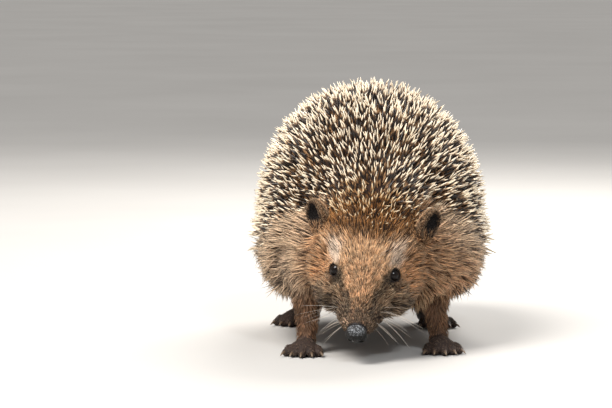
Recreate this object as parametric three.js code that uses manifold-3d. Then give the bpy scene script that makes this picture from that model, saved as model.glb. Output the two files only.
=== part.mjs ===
// European hedgehog, adult, standing with its head lowered to the ground, life size.
// Millimetres, +Z up. The animal faces -Y. Each solid reaches out to the tips of the coat.
import * as THREE from 'three';
import { mergeVertices } from 'three/addons/utils/BufferGeometryUtils.js';
import Module from 'manifold-3d';

const wasm = await Module();
wasm.setup();
const DEG = Math.PI / 180;

// ---------------------------------------------------------------- sizes and pose
const GAP = 0.3;                       // width of the thin cuts between neighbouring solids
const ORIGIN = [2.1, 88.0];            // x, y of the middle of the whole animal, moved to 0, 0

// head: origin midway between the eyes; forward, left and up are the head's own directions
const HEAD_AT = [-2.5, 0, 44.4];
const HEAD_PITCH = 50 * DEG;           // nose below the horizontal
const HEAD_YAW = -6.5 * DEG;           // nose towards -X
const HEAD_TILT = 4.5 * DEG;           // right ear higher than the left

const QUILL_DEPTH = 14;                // height of the spine tips over the skin
const FLANK_FUR = 10, BELLY_FUR = 5;
const BODY_X = 2.1;                    // the trunk stands a little to the left of the head

const EYE = { at: [0.8, 13.8, 0.3], r: 3.5 };
const NOSE = { at: [35.2, 0, -3.2], r: [4.1, 5.3, 4.8] };
const EAR = { dir: [-0.66, 0.3, 0.69], length: 18, width: 14, depth: 10.5, wall: 1.7 };
// the animal holds its right ear turned a little more to the front
const EAR_HELD = { '1': { at: [-26.0, 29.8, 7.2], face: [0.5, 0.78, 0.3] }, '-1': { at: [-25.6, 28.0, 7.3], face: [0.62, 0.69, 0.3] } };

// line of the mouth on the head's middle plane: forward, up
const LIPS = [[-9, -16.5], [1, -13.2], [12, -11.0], [23.5, -9.5], [30.5, -8.1]];

const CLAW = { length: 5.2, r: 1.05, tip: 0.4 };
const LEGS = {
  foreleg_left:  { path: [[31, 40, 44], [33.6, 34.5, 27], [35.5, 29, 10]], r: [10, 5.4, 4.2], coat: [4, 2.2, 1.3] },
  foreleg_right: { path: [[-30, 36, 44], [-31, 28, 27], [-31.5, 21, 10]], r: [10, 5.4, 4.2], coat: [4, 2.2, 1.3] },
  hindleg_left:  { path: [[31, 131, 42], [33.2, 135, 26], [33.5, 143, 10]], r: [12, 7, 4.8], coat: [4, 2.2, 1.3] },
  hindleg_right: { path: [[-31, 141, 42], [-33.2, 145, 26], [-33.5, 153, 10]], r: [12, 7, 4.8], coat: [4, 2.2, 1.3] },
};
// feet: heel point, heading in degrees from -Y towards +X, sole length, width at the toes
const FEET = {
  forefoot_left:  { heel: [35.8, 29.5], turn: 8, length: 14, width: 14, toe: 4.0 },
  forefoot_right: { heel: [-31.8, 21.5], turn: -8, length: 14, width: 14, toe: 4.0 },
  hindfoot_left:  { heel: [33.8, 146], turn: 12, length: 27, width: 14, toe: 5.0 },
  hindfoot_right: { heel: [-33.8, 156], turn: -12, length: 27, width: 14, toe: 5.0 },
};
const TAIL = { from: [0, 172, 40], to: [1.5, 194, 28], r: [5, 2.2] };

// ---------------------------------------------------------------- small helpers
const clamp = (x, a, b) => Math.min(b, Math.max(a, x));
const mix = (a, b, t) => a + (b - a) * t;
const smooth = (a, b, x) => { const t = clamp((x - a) / (b - a), 0, 1); return t * t * (3 - 2 * t); };
const smin = (a, b, k) => { const h = Math.max(k - Math.abs(a - b), 0) / k; return Math.min(a, b) - h * h * k * 0.25; };
const ramp = (table, x) => {             // piecewise linear, table sorted by rising x
  if (x <= table[0][0]) return table[0][1];
  for (let i = 1; i < table.length; i++)
    if (x <= table[i][0]) return mix(table[i - 1][1], table[i][1], (x - table[i - 1][0]) / (table[i][0] - table[i - 1][0]));
  return table[table.length - 1][1];
};

// the head's directions in the world
function turned(v) {
  const [cz, sz, ct, st] = [Math.cos(HEAD_YAW), Math.sin(HEAD_YAW), Math.cos(HEAD_TILT), Math.sin(HEAD_TILT)];
  const x = v[0] * cz - v[1] * sz, y = v[0] * sz + v[1] * cz, z = v[2];
  return [x * ct + z * st, y, -x * st + z * ct];
}
const FWD = turned([0, -Math.cos(HEAD_PITCH), -Math.sin(HEAD_PITCH)]);
const LEFT = turned([1, 0, 0]);
const UP = turned([0, -Math.sin(HEAD_PITCH), Math.cos(HEAD_PITCH)]);
const dot = (a, b) => a[0] * b[0] + a[1] * b[1] + a[2] * b[2];
const sub = (a, b) => [a[0] - b[0], a[1] - b[1], a[2] - b[2]];
const unit = (a) => { const n = Math.hypot(...a); return a.map((x) => x / n); };
const cross = (a, b) => [a[1] * b[2] - a[2] * b[1], a[2] * b[0] - a[0] * b[2], a[0] * b[1] - a[1] * b[0]];
const toHead = (p) => { const d = sub(p, HEAD_AT); return [dot(d, FWD), dot(d, LEFT), dot(d, UP)]; };
const fromHead = (h) => [0, 1, 2].map((i) => HEAD_AT[i] + h[0] * FWD[i] + h[1] * LEFT[i] + h[2] * UP[i]);
const dirFromHead = (h) => [0, 1, 2].map((i) => h[0] * FWD[i] + h[1] * LEFT[i] + h[2] * UP[i]);

// ---------------------------------------------------------------- distance functions
function ellipsoid(p, c, r) {
  const x = (p[0] - c[0]) / r[0], y = (p[1] - c[1]) / r[1], z = (p[2] - c[2]) / r[2];
  const k0 = Math.hypot(x, y, z), k1 = Math.hypot(x / r[0], y / r[1], z / r[2]);
  return k1 < 1e-9 ? -Math.min(...r) : (k0 * (k0 - 1)) / k1;
}
function cone(p, a, b, ra, rb) {         // round cone from a to b
  const ba = sub(b, a), pa = sub(p, a), t = clamp(dot(pa, ba) / dot(ba, ba), 0, 1);
  return Math.hypot(pa[0] - t * ba[0], pa[1] - t * ba[1], pa[2] - t * ba[2]) - mix(ra, rb, t);
}

// skin of the head, in head coordinates
function headSkin(h) {
  const s = [h[0], Math.abs(h[1]), h[2]];
  let d = ellipsoid(h, [-20, 0, -2], [26, 19.5, 17.5]);                     // braincase
  d = smin(d, ellipsoid(h, [-3, 0, -3.5], [18, 14.6, 13.5]), 8);            // face round the eyes
  d = smin(d, cone(h, [6, 0, -4.5], [31, 0, -3.8], 10.6, 5.0), 7);          // muzzle
  d = smin(d, cone(s, [-6, 4.5, -13], [22, 1.4, -9.1], 8.0, 3.4), 5);       // lower jaw
  d = smin(d, ellipsoid(s, [-5, 12.6, -10], [18, 9, 9.5]), 7);              // cheeks
  d = smin(d, ellipsoid(s, [20, 5.2, -6.6], [11.5, 4.8, 5.0]), 3);          // whisker pads
  return d;
}
const EYE_CLEAR = (h) => smooth(4.0, 12, Math.hypot(h[0] - EYE.at[0], Math.abs(h[1]) - EYE.at[1] - 1, h[2] - EYE.at[2]));
function headCoat(h) {
  let c = ramp([[-40, 4], [-25, 5], [-10, 4.5], [2, 3.2], [12, 2.2], [26, 1.2], [34, 0.3]], h[0]);
  const cheek = smooth(30, 14, h[0]) * smooth(4, 10, Math.abs(h[1])) * smooth(3, -5, h[2]);
  c = mix(c, mix(7.0, 8.5, smooth(14, 4, h[0])), cheek);                    // long fur of the cheeks
  c = mix(c, 6.0, smooth(27, 14, h[0]) * smooth(-8, -12, h[2]));            // and of the chin
  return c * mix(0.25, 1, EYE_CLEAR(h));
}
const headOuter = (p) => { const h = toHead(p); return headSkin(h) - headCoat(h); };

// skin of the trunk, in the world
function trunkSkin(p) {
  const q = [p[0] - BODY_X, p[1], p[2]];
  let d = ellipsoid(q, [0, 66, 66], [43.5, 40, 42]);                        // chest and shoulders
  d = smin(d, ellipsoid(q, [0, 102, 73], [47.5, 56, 50]), 20);              // back and belly
  d = smin(d, ellipsoid(q, [0, 142, 66], [42, 45, 42]), 20);                // rump
  d = smin(d, ellipsoid(q, [0, 38, 76], [19, 30, 18]), 16);                 // nape and crown
  d = smin(d, ellipsoid([Math.abs(q[0]), p[1], p[2]], [24, 86, 46], [28, 58, 22]), 12);   // loose skin of the flanks
  return d;
}
const MANTLE_EDGE = [[0, 84], [20, 75], [40, 62], [70, 51], [110, 45], [150, 43], [200, 42]];   // y, height of the spines' lower edge
function trunkCoat(p) {
  const spines = smooth(-9, 5, p[2] - ramp(MANTLE_EDGE, p[1]));
  const fur = mix(BELLY_FUR, FLANK_FUR, smooth(22, 42, p[2]));
  return mix(fur, QUILL_DEPTH, spines);
}
const trunkOuter = (p) => trunkSkin(p) - trunkCoat(p);
// neck, with a collar of fur on each side that runs from the cheek out to the shoulder
function neckOuter(p) {
  let d = smin(cone(p, fromHead([-36, 0, -8]), [1, 50, 58], 23, 32), cone(p, fromHead([-26, 0, -14]), [1, 50, 48], 22, 29), 8);
  for (const s of [1, -1]) d = smin(d, cone(p, fromHead([-20, s * 14, -14]), [BODY_X + s * 20, 47, 51], 19, 30), 6);
  return d;
}

// ---------------------------------------------------------------- closed shells
// A capsule whose every vertex is moved out, square to a curved axis or fanned over its ends, until the distance function there equals grow.
function shell(f, axis, side, { cap, around, along, grow = 0, reach = 120 }) {
  let g = new THREE.CapsuleGeometry(1, 2, cap, around, along);
  g.deleteAttribute('normal'); g.deleteAttribute('uv');
  g = mergeVertices(g, 1e-5);
  const curve = axis.length > 2 ? new THREE.CatmullRomCurve3(axis.map((a) => new THREE.Vector3(...a))) : new THREE.LineCurve3(new THREE.Vector3(...axis[0]), new THREE.Vector3(...axis[1]));
  const pos = g.attributes.position;
  for (let i = 0; i < pos.count; i++) {
    const x = pos.getX(i), y = pos.getY(i), z = pos.getZ(i);
    const s = clamp((y + 1) / 2, 0, 1);
    const c = curve.getPoint(s), t = curve.getTangent(s);
    const tt = [t.x, t.y, t.z], b = unit(cross(side, tt)), a = unit(cross(tt, b));
    const past = y > 1 ? y - 1 : y < -1 ? y + 1 : 0;
    const d = unit([0, 1, 2].map((k) => x * a[k] + z * b[k] + past * tt[k]));
    const at = (r) => [c.x + r * d[0], c.y + r * d[1], c.z + r * d[2]];
    let hi = 0.5;
    while (f(at(hi)) < grow && hi < reach) hi += 1.0;
    let lo = Math.max(0, hi - 1.0);
    for (let n = 0; n < 24; n++) { const m = (lo + hi) / 2; if (f(at(m)) < grow) lo = m; else hi = m; }
    pos.setXYZ(i, ...at((lo + hi) / 2));
  }
  return g;
}
// geometry to manifold solid, faces out, collapsed triangles dropped
function solid(geometry) {
  let g = geometry.clone();
  for (const name of Object.keys(g.attributes)) if (name !== 'position') g.deleteAttribute(name);
  g = mergeVertices(g, 1e-4);
  const idx = [...g.index.array], tri = [];
  for (let i = 0; i < idx.length; i += 3) {
    const [a, b, c] = [idx[i], idx[i + 1], idx[i + 2]];
    if (a !== b && b !== c && a !== c) tri.push(a, b, c);
  }
  const make = (t) => new wasm.Manifold(new wasm.Mesh({ numProp: 3, vertProperties: new Float32Array(g.attributes.position.array), triVerts: new Uint32Array(t) }));
  const made = make(tri);
  if (made.volume() > 0) return made;
  for (let i = 0; i < tri.length; i += 3) [tri[i + 1], tri[i + 2]] = [tri[i + 2], tri[i + 1]];
  return make(tri);
}
const ball = (c, r, n = 12) => {
  const g = new THREE.SphereGeometry(1, n * 2, n);
  g.scale(...(Array.isArray(r) ? r : [r, r, r]));
  g.translate(...c);
  return solid(g);
};
// an ellipsoid with its own directions given as columns
const tilted = (c, r, ex, ey, ez, nu = 24, nv = 16) => {
  const g = new THREE.SphereGeometry(1, nu, nv);
  g.scale(...r);
  g.applyMatrix4(new THREE.Matrix4().makeBasis(new THREE.Vector3(...ex), new THREE.Vector3(...ey), new THREE.Vector3(...ez)).setPosition(...c));
  return solid(g);
};
const floorCut = (() => { const g = new THREE.BoxGeometry(400, 500, 60); g.translate(0, 80, -30); return solid(g); })();

// ---------------------------------------------------------------- solids
const solids = {};
const headAxis = [fromHead([-22, 0, -3]), fromHead([0, 0, -4]), fromHead([26, 0, -4.1])];
const headShell = (grow) => solid(shell(headOuter, headAxis, LEFT, { cap: 5, around: 22, along: 11, grow }));
const neckShell = (grow) => solid(shell(neckOuter, [fromHead([-32, 0, -10]), [1, 42, 56]], [1, 0, 0], { cap: 3, around: 20, along: 2, grow }));
// everything below the lips, as a prism across the head
function jawRegion(grow) {
  const far = 60, outline = new THREE.Shape();
  outline.moveTo(LIPS[0][0] - grow, -far);
  for (const [a, u] of LIPS) outline.lineTo(a - (a < 0 ? grow : 0), u + grow);
  outline.lineTo(LIPS[4][0] + far, LIPS[4][1] + grow);
  outline.lineTo(LIPS[4][0] + far, -far);
  const g = new THREE.ExtrudeGeometry(outline, { depth: 120, bevelEnabled: false });
  g.translate(0, 0, -60);
  g.applyMatrix4(new THREE.Matrix4().makeBasis(new THREE.Vector3(...FWD), new THREE.Vector3(...UP), new THREE.Vector3(...cross(FWD, UP))).setPosition(...HEAD_AT));
  return solid(g);
}

// nose, pierced by two shallow nostrils
const noseBall = (grow) => tilted(fromHead(NOSE.at), NOSE.r.map((r) => r + grow), FWD, LEFT, UP, 14, 9);
const nostril = (s) => tilted(fromHead([NOSE.at[0] + 2.4, s * 3.5, NOSE.at[2] - 1.9]), [1.6, 1.1, 1.2], FWD, LEFT, UP, 8, 5);
solids.nose = noseBall(0).subtract(nostril(1)).subtract(nostril(-1));

// eyes
const eyeAt = (s) => fromHead([EYE.at[0], s * EYE.at[1], EYE.at[2]]);
solids.eye_left = ball(eyeAt(1), EYE.r, 7);
solids.eye_right = ball(eyeAt(-1), EYE.r, 7);

// ears: a rounded cup, open on the side that faces forwards and out
function ear(s, whole) {                // whole: the grown outline that its neighbours give way to
  const dir = unit(dirFromHead([EAR.dir[0], s * EAR.dir[1], EAR.dir[2]]));
  const held = EAR_HELD[s], f0 = dirFromHead([held.face[0], s * held.face[1], held.face[2]]);
  const k = dot(f0, dir);
  const face = unit(sub(f0, dir.map((x) => x * k)));
  const across = cross(dir, face);
  const mid = fromHead([held.at[0], s * held.at[1], held.at[2]]);
  const r = [EAR.length / 2, EAR.width / 2, EAR.depth / 2];
  if (whole) return tilted(mid, r.map((x) => x + GAP), dir, across, face, 12, 8);
  const hollow = [0, 1, 2].map((i) => mid[i] + face[i] * (EAR.wall * 1.35));
  const cup = tilted(mid, r, dir, across, face, 14, 9)
    .subtract(tilted(hollow, r.map((x) => x - EAR.wall), dir, across, face, 14, 9));
  // the front of the cup is cut away
  const cut = new THREE.BoxGeometry(60, 60, 20);
  cut.translate(0, 0, 10 + 0.9);
  cut.applyMatrix4(new THREE.Matrix4().makeBasis(new THREE.Vector3(...dir), new THREE.Vector3(...across), new THREE.Vector3(...face)).setPosition(...mid));
  return cup.subtract(solid(cut));
}

// legs and feet
function legShell(leg, grow) {
  const [a, b, c] = leg.path;
  const f = (p) => smin(cone(p, a, b, leg.r[0] + leg.coat[0], leg.r[1] + leg.coat[1]), cone(p, b, c, leg.r[1] + leg.coat[1], leg.r[2] + leg.coat[2]), 4);
  return solid(shell(f, leg.path, [1, 0, 0], { cap: 2, around: 10, along: 5, grow }));
}
function foot(spec, grow) {
  const th = spec.turn * DEG, fwd = [Math.sin(th), -Math.cos(th), 0], out = [Math.cos(th), Math.sin(th), 0];
  const at = (a, b, z) => [spec.heel[0] + fwd[0] * a + out[0] * b, spec.heel[1] + fwd[1] * a + out[1] * b, z];
  const palm = (p) => smin(cone(p, at(0, 0, 4.6), at(spec.length - 5, 0, 4.0), 5.0, 4.6), ellipsoid(p, at(spec.length - 5, 0, 3.6), [spec.width * 0.52, spec.width * 0.46, 4.2]), 3);
  const toes = [-2, -1, 0, 1, 2].map((n) => {
    const spread = n * 15 * DEG, start = spec.length - 5 - Math.abs(n) * 0.9, b0 = n * spec.width * 0.19;
    const dir = [Math.cos(spread), Math.sin(spread)];
    const len = spec.toe - Math.abs(n) * 0.9;
    const a = at(start, b0, 3.4), b = at(start + dir[0] * (4 + len), b0 + dir[1] * (4 + len), 2.0);
    const tip = at(start + dir[0] * (4 + len + CLAW.length), b0 + dir[1] * (4 + len + CLAW.length), 0.75);
    const knuckle = at(start + dir[0] * (4 + len + 1.5), b0 + dir[1] * (4 + len + 1.5), 2.6);
    const toe = (p) => cone(p, a, b, 2.9, 2.4);
    const claw = (p) => smin(cone(p, b, knuckle, CLAW.r, CLAW.r), cone(p, knuckle, tip, CLAW.r, CLAW.tip), 0.5);
    return solid(shell(toe, [a, b], [0, 0, 1], { cap: 1, around: 6, along: 1, grow }))
      .add(solid(shell(claw, [b, knuckle, tip], [0, 0, 1], { cap: 1, around: 4, along: 1, grow })));
  });
  let made = solid(shell(palm, [at(0, 0, 4.2), at(spec.length - 5, 0, 3.8)], [0, 0, 1], { cap: 2, around: 10, along: 1, grow }));
  for (const t of toes) made = made.add(t);
  return made.subtract(floorCut);
}
function tail(grow) {
  const f = (p) => cone(p, TAIL.from, TAIL.to, TAIL.r[0], TAIL.r[1]);
  return solid(shell(f, [TAIL.from, TAIL.to], [1, 0, 0], { cap: 2, around: 10, along: 2, grow }));
}

// parting: every piece gives way to the smaller pieces set into it, with a thin cut between
const feet = Object.fromEntries(Object.entries(FEET).map(([n, s]) => [n, { now: foot(s, 0), wide: foot(s, GAP) }]));
const legs = Object.fromEntries(Object.entries(LEGS).map(([n, s]) => [n, { now: legShell(s, 0), wide: legShell(s, GAP) }]));
const eyeSocket = (s) => ball([0, 1, 2].map((i) => eyeAt(s)[i] + s * LEFT[i] * 0.6), EYE.r + 1.0, 6);
const largest = (m) => m.decompose().sort((a, b) => b.volume() - a.volume())[0];

const headNow = headShell(0), headWide = headShell(GAP);
solids.lower_jaw = largest(headNow.intersect(jawRegion(0)).subtract(noseBall(GAP)));
let head = headNow.subtract(jawRegion(GAP)).subtract(noseBall(GAP));
for (const s of [1, -1]) head = head.subtract(eyeSocket(s));
solids.head = largest(head);
for (const [name, s] of [['ear_left', 1], ['ear_right', -1]]) solids[name] = largest(ear(s).subtract(headWide));
let neck = neckShell(0).subtract(headWide);
let trunk = solid(shell(trunkOuter, [[BODY_X, 66, 66], [BODY_X, 100, 72], [BODY_X, 138, 67]], [1, 0, 0], { cap: 6, around: 28, along: 7 }))
  .subtract(headWide).subtract(neckShell(GAP)).subtract(tail(GAP));
for (const n of Object.keys(legs)) {
  trunk = trunk.subtract(legs[n].wide);
  neck = neck.subtract(legs[n].wide);
}
for (const s of [1, -1]) { trunk = trunk.subtract(ear(s, true)); neck = neck.subtract(ear(s, true)); }
solids.trunk = largest(trunk);
solids.neck = largest(neck);
for (const [l, f] of [['foreleg_left', 'forefoot_left'], ['foreleg_right', 'forefoot_right'], ['hindleg_left', 'hindfoot_left'], ['hindleg_right', 'hindfoot_right']]) {
  solids[l] = largest(legs[l].now.subtract(feet[f].wide).subtract(headWide).subtract(floorCut));
  solids[f] = feet[f].now;
}
solids.tail = tail(0);

// ---------------------------------------------------------------- the scene graph
const FINISH = {
  trunk: [0x6b5a49, 0.8], neck: [0x8a6a4c, 0.85], head: [0x9a7a58, 0.85], lower_jaw: [0x8a6c50, 0.85], nose: [0x1d1a1a, 0.3],
  eye_left: [0x060505, 0.05], eye_right: [0x060505, 0.05], ear_left: [0x4a3628, 0.7], ear_right: [0x4a3628, 0.7], tail: [0x57473a, 0.8],
};
const LEG_FINISH = [0x6e5d4e, 0.85], FOOT_FINISH = [0x4d4038, 0.7];

const hedgehog = new THREE.Group();
hedgehog.name = 'hedgehog';
hedgehog.position.set(-ORIGIN[0], -ORIGIN[1], 0);
for (const [name, m] of Object.entries(solids)) {
  const mesh = m.getMesh(), n = mesh.numProp;
  const at = new Float32Array(mesh.numVert * 3);
  for (let i = 0; i < mesh.numVert; i++) for (let k = 0; k < 3; k++) at[i * 3 + k] = mesh.vertProperties[i * n + k];
  const g = new THREE.BufferGeometry().setAttribute('position', new THREE.BufferAttribute(at, 3)).setIndex(new THREE.BufferAttribute(new Uint32Array(mesh.triVerts), 1));
  g.computeVertexNormals();
  const [color, roughness] = FINISH[name] || (name.includes('foot') ? FOOT_FINISH : LEG_FINISH);
  const piece = new THREE.Mesh(g, new THREE.MeshStandardMaterial({ color, roughness, metalness: 0 }));
  piece.name = name;
  hedgehog.add(piece);
}

export default hedgehog;
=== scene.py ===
# European hedgehog, life size. One skin, eyes, nose, claws, whiskers, and a coat of spines and fur in solid tufts.
# Shapes are worked out in millimetres in the animal's own pose frame, then moved into the row's frame in metres.
import math

import bpy
import numpy as np
from mathutils.kdtree import KDTree
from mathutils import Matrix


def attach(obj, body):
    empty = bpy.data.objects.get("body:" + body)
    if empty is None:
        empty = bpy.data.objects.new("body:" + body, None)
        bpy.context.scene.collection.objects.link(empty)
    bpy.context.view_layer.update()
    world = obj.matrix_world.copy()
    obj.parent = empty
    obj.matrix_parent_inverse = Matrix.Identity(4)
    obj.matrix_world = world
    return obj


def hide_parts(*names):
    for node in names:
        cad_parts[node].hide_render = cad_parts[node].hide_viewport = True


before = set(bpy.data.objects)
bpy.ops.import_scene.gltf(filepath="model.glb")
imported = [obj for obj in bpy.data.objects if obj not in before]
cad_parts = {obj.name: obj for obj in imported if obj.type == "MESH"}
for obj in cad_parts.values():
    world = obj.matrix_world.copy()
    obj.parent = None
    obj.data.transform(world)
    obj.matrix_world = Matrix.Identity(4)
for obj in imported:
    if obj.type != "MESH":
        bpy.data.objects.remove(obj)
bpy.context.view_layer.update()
DEG = math.pi / 180
F = np.float32

# ---------------------------------------------------------------- sizes and pose, the same as the solids'
ORIGIN = (2.1, 88.0)
HEAD_AT = np.array([-2.5, 0, 44.4])
HEAD_PITCH, HEAD_YAW, HEAD_TILT = 50 * DEG, -6.5 * DEG, 4.5 * DEG
QUILL_DEPTH, FLANK_FUR, BELLY_FUR = 14, 10, 5
BODY_X = 2.1
EYE_AT, EYE_R = (0.8, 13.8, 0.3), 3.5
NOSE_AT, NOSE_R = (35.2, 0, -3.2), (4.3, 5.6, 5.0)
EAR = dict(dir=(-0.66, 0.3, 0.69), length=17.4, width=13.0, depth=9.8, wall=1.2)
EAR_HELD = {1: dict(at=(-26.0, 29.8, 7.2), face=(0.5, 0.78, 0.3)), -1: dict(at=(-25.6, 28.0, 7.3), face=(0.62, 0.69, 0.3))}
LIPS = ((-9, -16.5), (1, -13.2), (12, -11.0), (23.5, -9.5), (30.5, -8.1))
LEGS = dict(
    foreleg_left=dict(path=((31, 40, 44), (33.6, 34.5, 27), (35.5, 29, 10)), r=(10, 5.4, 4.2)),
    foreleg_right=dict(path=((-30, 36, 44), (-31, 28, 27), (-31.5, 21, 10)), r=(10, 5.4, 4.2)),
    hindleg_left=dict(path=((31, 131, 42), (33.2, 135, 26), (33.5, 143, 10)), r=(12, 7, 4.8)),
    hindleg_right=dict(path=((-31, 141, 42), (-33.2, 145, 26), (-33.5, 153, 10)), r=(12, 7, 4.8)),
)
FEET = dict(
    forefoot_left=dict(heel=(35.8, 29.5), turn=8, length=14, width=14, toe=4.0),
    forefoot_right=dict(heel=(-31.8, 21.5), turn=-8, length=14, width=14, toe=4.0),
    hindfoot_left=dict(heel=(33.8, 146), turn=12, length=27, width=14, toe=5.0),
    hindfoot_right=dict(heel=(-33.8, 156), turn=-12, length=27, width=14, toe=5.0),
)
CLAW = dict(length=5.2, r=1.05, tip=0.4)
TAIL = dict(a=(0, 172, 40), b=(1.5, 194, 28), r=(5, 2.2))
MANTLE_EDGE = np.array([[0, 84], [20, 75], [40, 62], [70, 51], [110, 45], [150, 43], [200, 42]], float)


# ---------------------------------------------------------------- helpers
def unit(v):
    v = np.asarray(v, float)
    return v / np.maximum(np.linalg.norm(v, axis=-1, keepdims=True), 1e-9)


def mix(a, b, t):
    return a + (b - a) * t


def smooth(a, b, x):
    t = np.clip((x - a) / (b - a), 0, 1)
    return t * t * (3 - 2 * t)


def smin(a, b, k):
    h = np.maximum(k - np.abs(a - b), 0) / k
    return np.minimum(a, b) - h * h * (k * 0.25)


def smax(a, b, k):
    return -smin(-a, -b, k)


def turned(v):
    cz, sz, ct, st = math.cos(HEAD_YAW), math.sin(HEAD_YAW), math.cos(HEAD_TILT), math.sin(HEAD_TILT)
    x, y, z = v[0] * cz - v[1] * sz, v[0] * sz + v[1] * cz, v[2]
    return np.array([x * ct + z * st, y, -x * st + z * ct])


FWD = turned((0, -math.cos(HEAD_PITCH), -math.sin(HEAD_PITCH)))
LEFT = turned((1, 0, 0))
UP = turned((0, -math.sin(HEAD_PITCH), math.cos(HEAD_PITCH)))
HEAD = np.stack([FWD, LEFT, UP])  # rows


def to_head(p):
    return (p - HEAD_AT.astype(p.dtype)) @ HEAD.T.astype(p.dtype)


def from_head(h):
    return HEAD_AT + np.asarray(h, float) @ HEAD


def dir_from_head(h):
    return np.asarray(h, float) @ HEAD


def length(v):
    return np.sqrt((v * v).sum(-1))


def ellipsoid(p, c, r):
    q = (p - np.array(c, p.dtype)) / np.array(r, p.dtype)
    k0 = length(q)
    k1 = length(q / np.array(r, p.dtype))
    return k0 * (k0 - 1) / np.maximum(k1, 1e-6)


def cone(p, a, b, ra, rb):
    a, b = np.asarray(a, float), np.asarray(b, float)
    ba = (b - a).astype(p.dtype)
    pa = p - a.astype(p.dtype)
    t = np.clip(pa @ ba / float(ba @ ba), 0, 1)
    return length(pa - t[:, None] * ba) - (ra + (rb - ra) * t)


def mirrored(p, axis=1):
    q = p.copy()
    q[:, axis] = np.abs(q[:, axis])
    return q


# ---------------------------------------------------------------- distance functions of the body
def head_skin(h):
    s = mirrored(h)
    d = ellipsoid(h, (-20, 0, -2), (26, 19.5, 17.5))
    d = smin(d, ellipsoid(h, (-3, 0, -3.5), (18, 14.6, 13.5)), 8)
    d = smin(d, cone(h, (6, 0, -4.5), (31, 0, -3.8), 10.6, 5.0), 7)
    d = smin(d, cone(s, (-6, 4.5, -13), (22, 1.4, -9.1), 8.0, 3.4), 5)
    d = smin(d, ellipsoid(s, (-5, 12.6, -10), (18, 9, 9.5)), 7)
    d = smin(d, ellipsoid(s, (20, 5.2, -6.6), (11.5, 4.8, 5.0)), 3)
    return d


def ear_frame(s):
    d = unit(dir_from_head((EAR["dir"][0], s * EAR["dir"][1], EAR["dir"][2])))
    held = EAR_HELD[s]
    f = dir_from_head((held["face"][0], s * held["face"][1], held["face"][2]))
    f = unit(f - d * (f @ d))
    return from_head((held["at"][0], s * held["at"][1], held["at"][2])), d, np.cross(d, f), f


EARS = {s: ear_frame(s) for s in (1, -1)}


def ear_skin(p, s):
    mid, d, across, f = EARS[s]
    q = (p - mid.astype(p.dtype)) @ np.stack([d, across, f]).T.astype(p.dtype)
    r = np.array([EAR["length"] / 2, EAR["width"] / 2, EAR["depth"] / 2]) - 0.35
    outer = ellipsoid(q, (0, 0, 0), r)
    inner = ellipsoid(q, (0, 0, EAR["wall"] * 1.35), r - EAR["wall"] + 0.25)
    e = smax(outer, -inner, 0.8)
    rim = 0.9 - 0.02 * q[:, 0] + 0.35 * np.sin(q[:, 0] * 0.55 + 0.6)
    e = smax(e, q[:, 2] - rim.astype(p.dtype), 0.9)
    # a low fold inside the cup
    fold = cone(q, (-5, 1.6, -1.2), (3.2, 2.4, -2.4), 1.25, 0.5)
    return smin(e, np.maximum(fold, outer + 0.3), 0.9)


def trunk_skin(p):
    q = p - np.array([BODY_X, 0, 0], p.dtype)
    m = mirrored(q, 0)
    d = ellipsoid(q, (0, 66, 66), (43.5, 40, 42))
    d = smin(d, ellipsoid(q, (0, 102, 73), (47.5, 56, 50)), 20)
    d = smin(d, ellipsoid(q, (0, 142, 66), (42, 45, 42)), 20)
    d = smin(d, ellipsoid(q, (0, 38, 76), (19, 30, 18)), 16)
    d = smin(d, ellipsoid(m, (24, 86, 46), (28, 58, 22)), 12)
    return d


def neck_skin(p):
    a = cone(p, from_head((-36, 0, -8)), (1, 50, 58), 23, 32)
    b = cone(p, from_head((-26, 0, -14)), (1, 50, 48), 22, 29)
    d = smin(a, b, 8)
    for s in (1, -1):                                               # collars from the cheeks out to the shoulders
        d = smin(d, cone(p, from_head((-20, s * 14, -14)), (BODY_X + s * 20, 47, 51), 19, 30), 6)
    return d + 6.0


def leg_skin(p, leg):
    a, b, c = leg["path"]
    r = leg["r"]
    return smin(cone(p, a, b, r[0], r[1]), cone(p, b, c, r[1], r[2]), 4)


def foot_points(spec):
    th = spec["turn"] * DEG
    fwd, out = np.array([math.sin(th), -math.cos(th), 0]), np.array([math.cos(th), math.sin(th), 0])

    def at(a, b, z):
        return np.array([spec["heel"][0], spec["heel"][1], 0]) + fwd * a + out * b + np.array([0, 0, z])

    toes = []
    for n in (-2, -1, 0, 1, 2):
        spread = n * 15 * DEG
        start, b0 = spec["length"] - 5 - abs(n) * 0.9, n * spec["width"] * 0.19
        dx, dy = math.cos(spread), math.sin(spread)
        ln = spec["toe"] - abs(n) * 0.9

        def along(k, z):
            return at(start + dx * k, b0 + dy * k, z)

        toes.append(dict(a=along(0, 3.4), k=along((4 + ln) * 0.55, 3.5), b=along(4 + ln, 2.1), knuckle=along(4 + ln + 1.5, 2.6),
                         tip=along(4 + ln + CLAW["length"], 0.75)))
    return at, toes, fwd, out


def foot_skin(p, spec):
    at, toes, fwd, out = foot_points(spec)
    L = spec["length"]
    d = cone(p, at(0, 0, 4.6), at(L - 5, 0, 4.0), 4.8, 4.4)
    c = at(L - 5, 0, 3.6)
    q = (p - c.astype(p.dtype)) @ np.stack([fwd, out, [0, 0, 1.0]]).T.astype(p.dtype)
    d = smin(d, ellipsoid(q, (0, 0, 0), (spec["width"] * 0.48, spec["width"] * 0.48, 4.0)), 3)
    for t in toes:
        toe = smin(cone(p, t["a"], t["k"], 2.3, 2.15), cone(p, t["k"], t["b"], 2.15, 2.1), 1.0)
        d = smin(d, toe, 1.3)
    # pads under the foot
    for a, b in ((L - 8, -3.6), (L - 8, 3.6), (L - 5, 0), (1, 0)):
        d = smin(d, ellipsoid(p, at(a, b, 1.7), (2.6, 2.6, 2.1)), 1.0)
    return d


EYE_AXIS = unit(np.array([0.50, 0.70, 0.50]))  # where the left eye looks, in head directions


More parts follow.
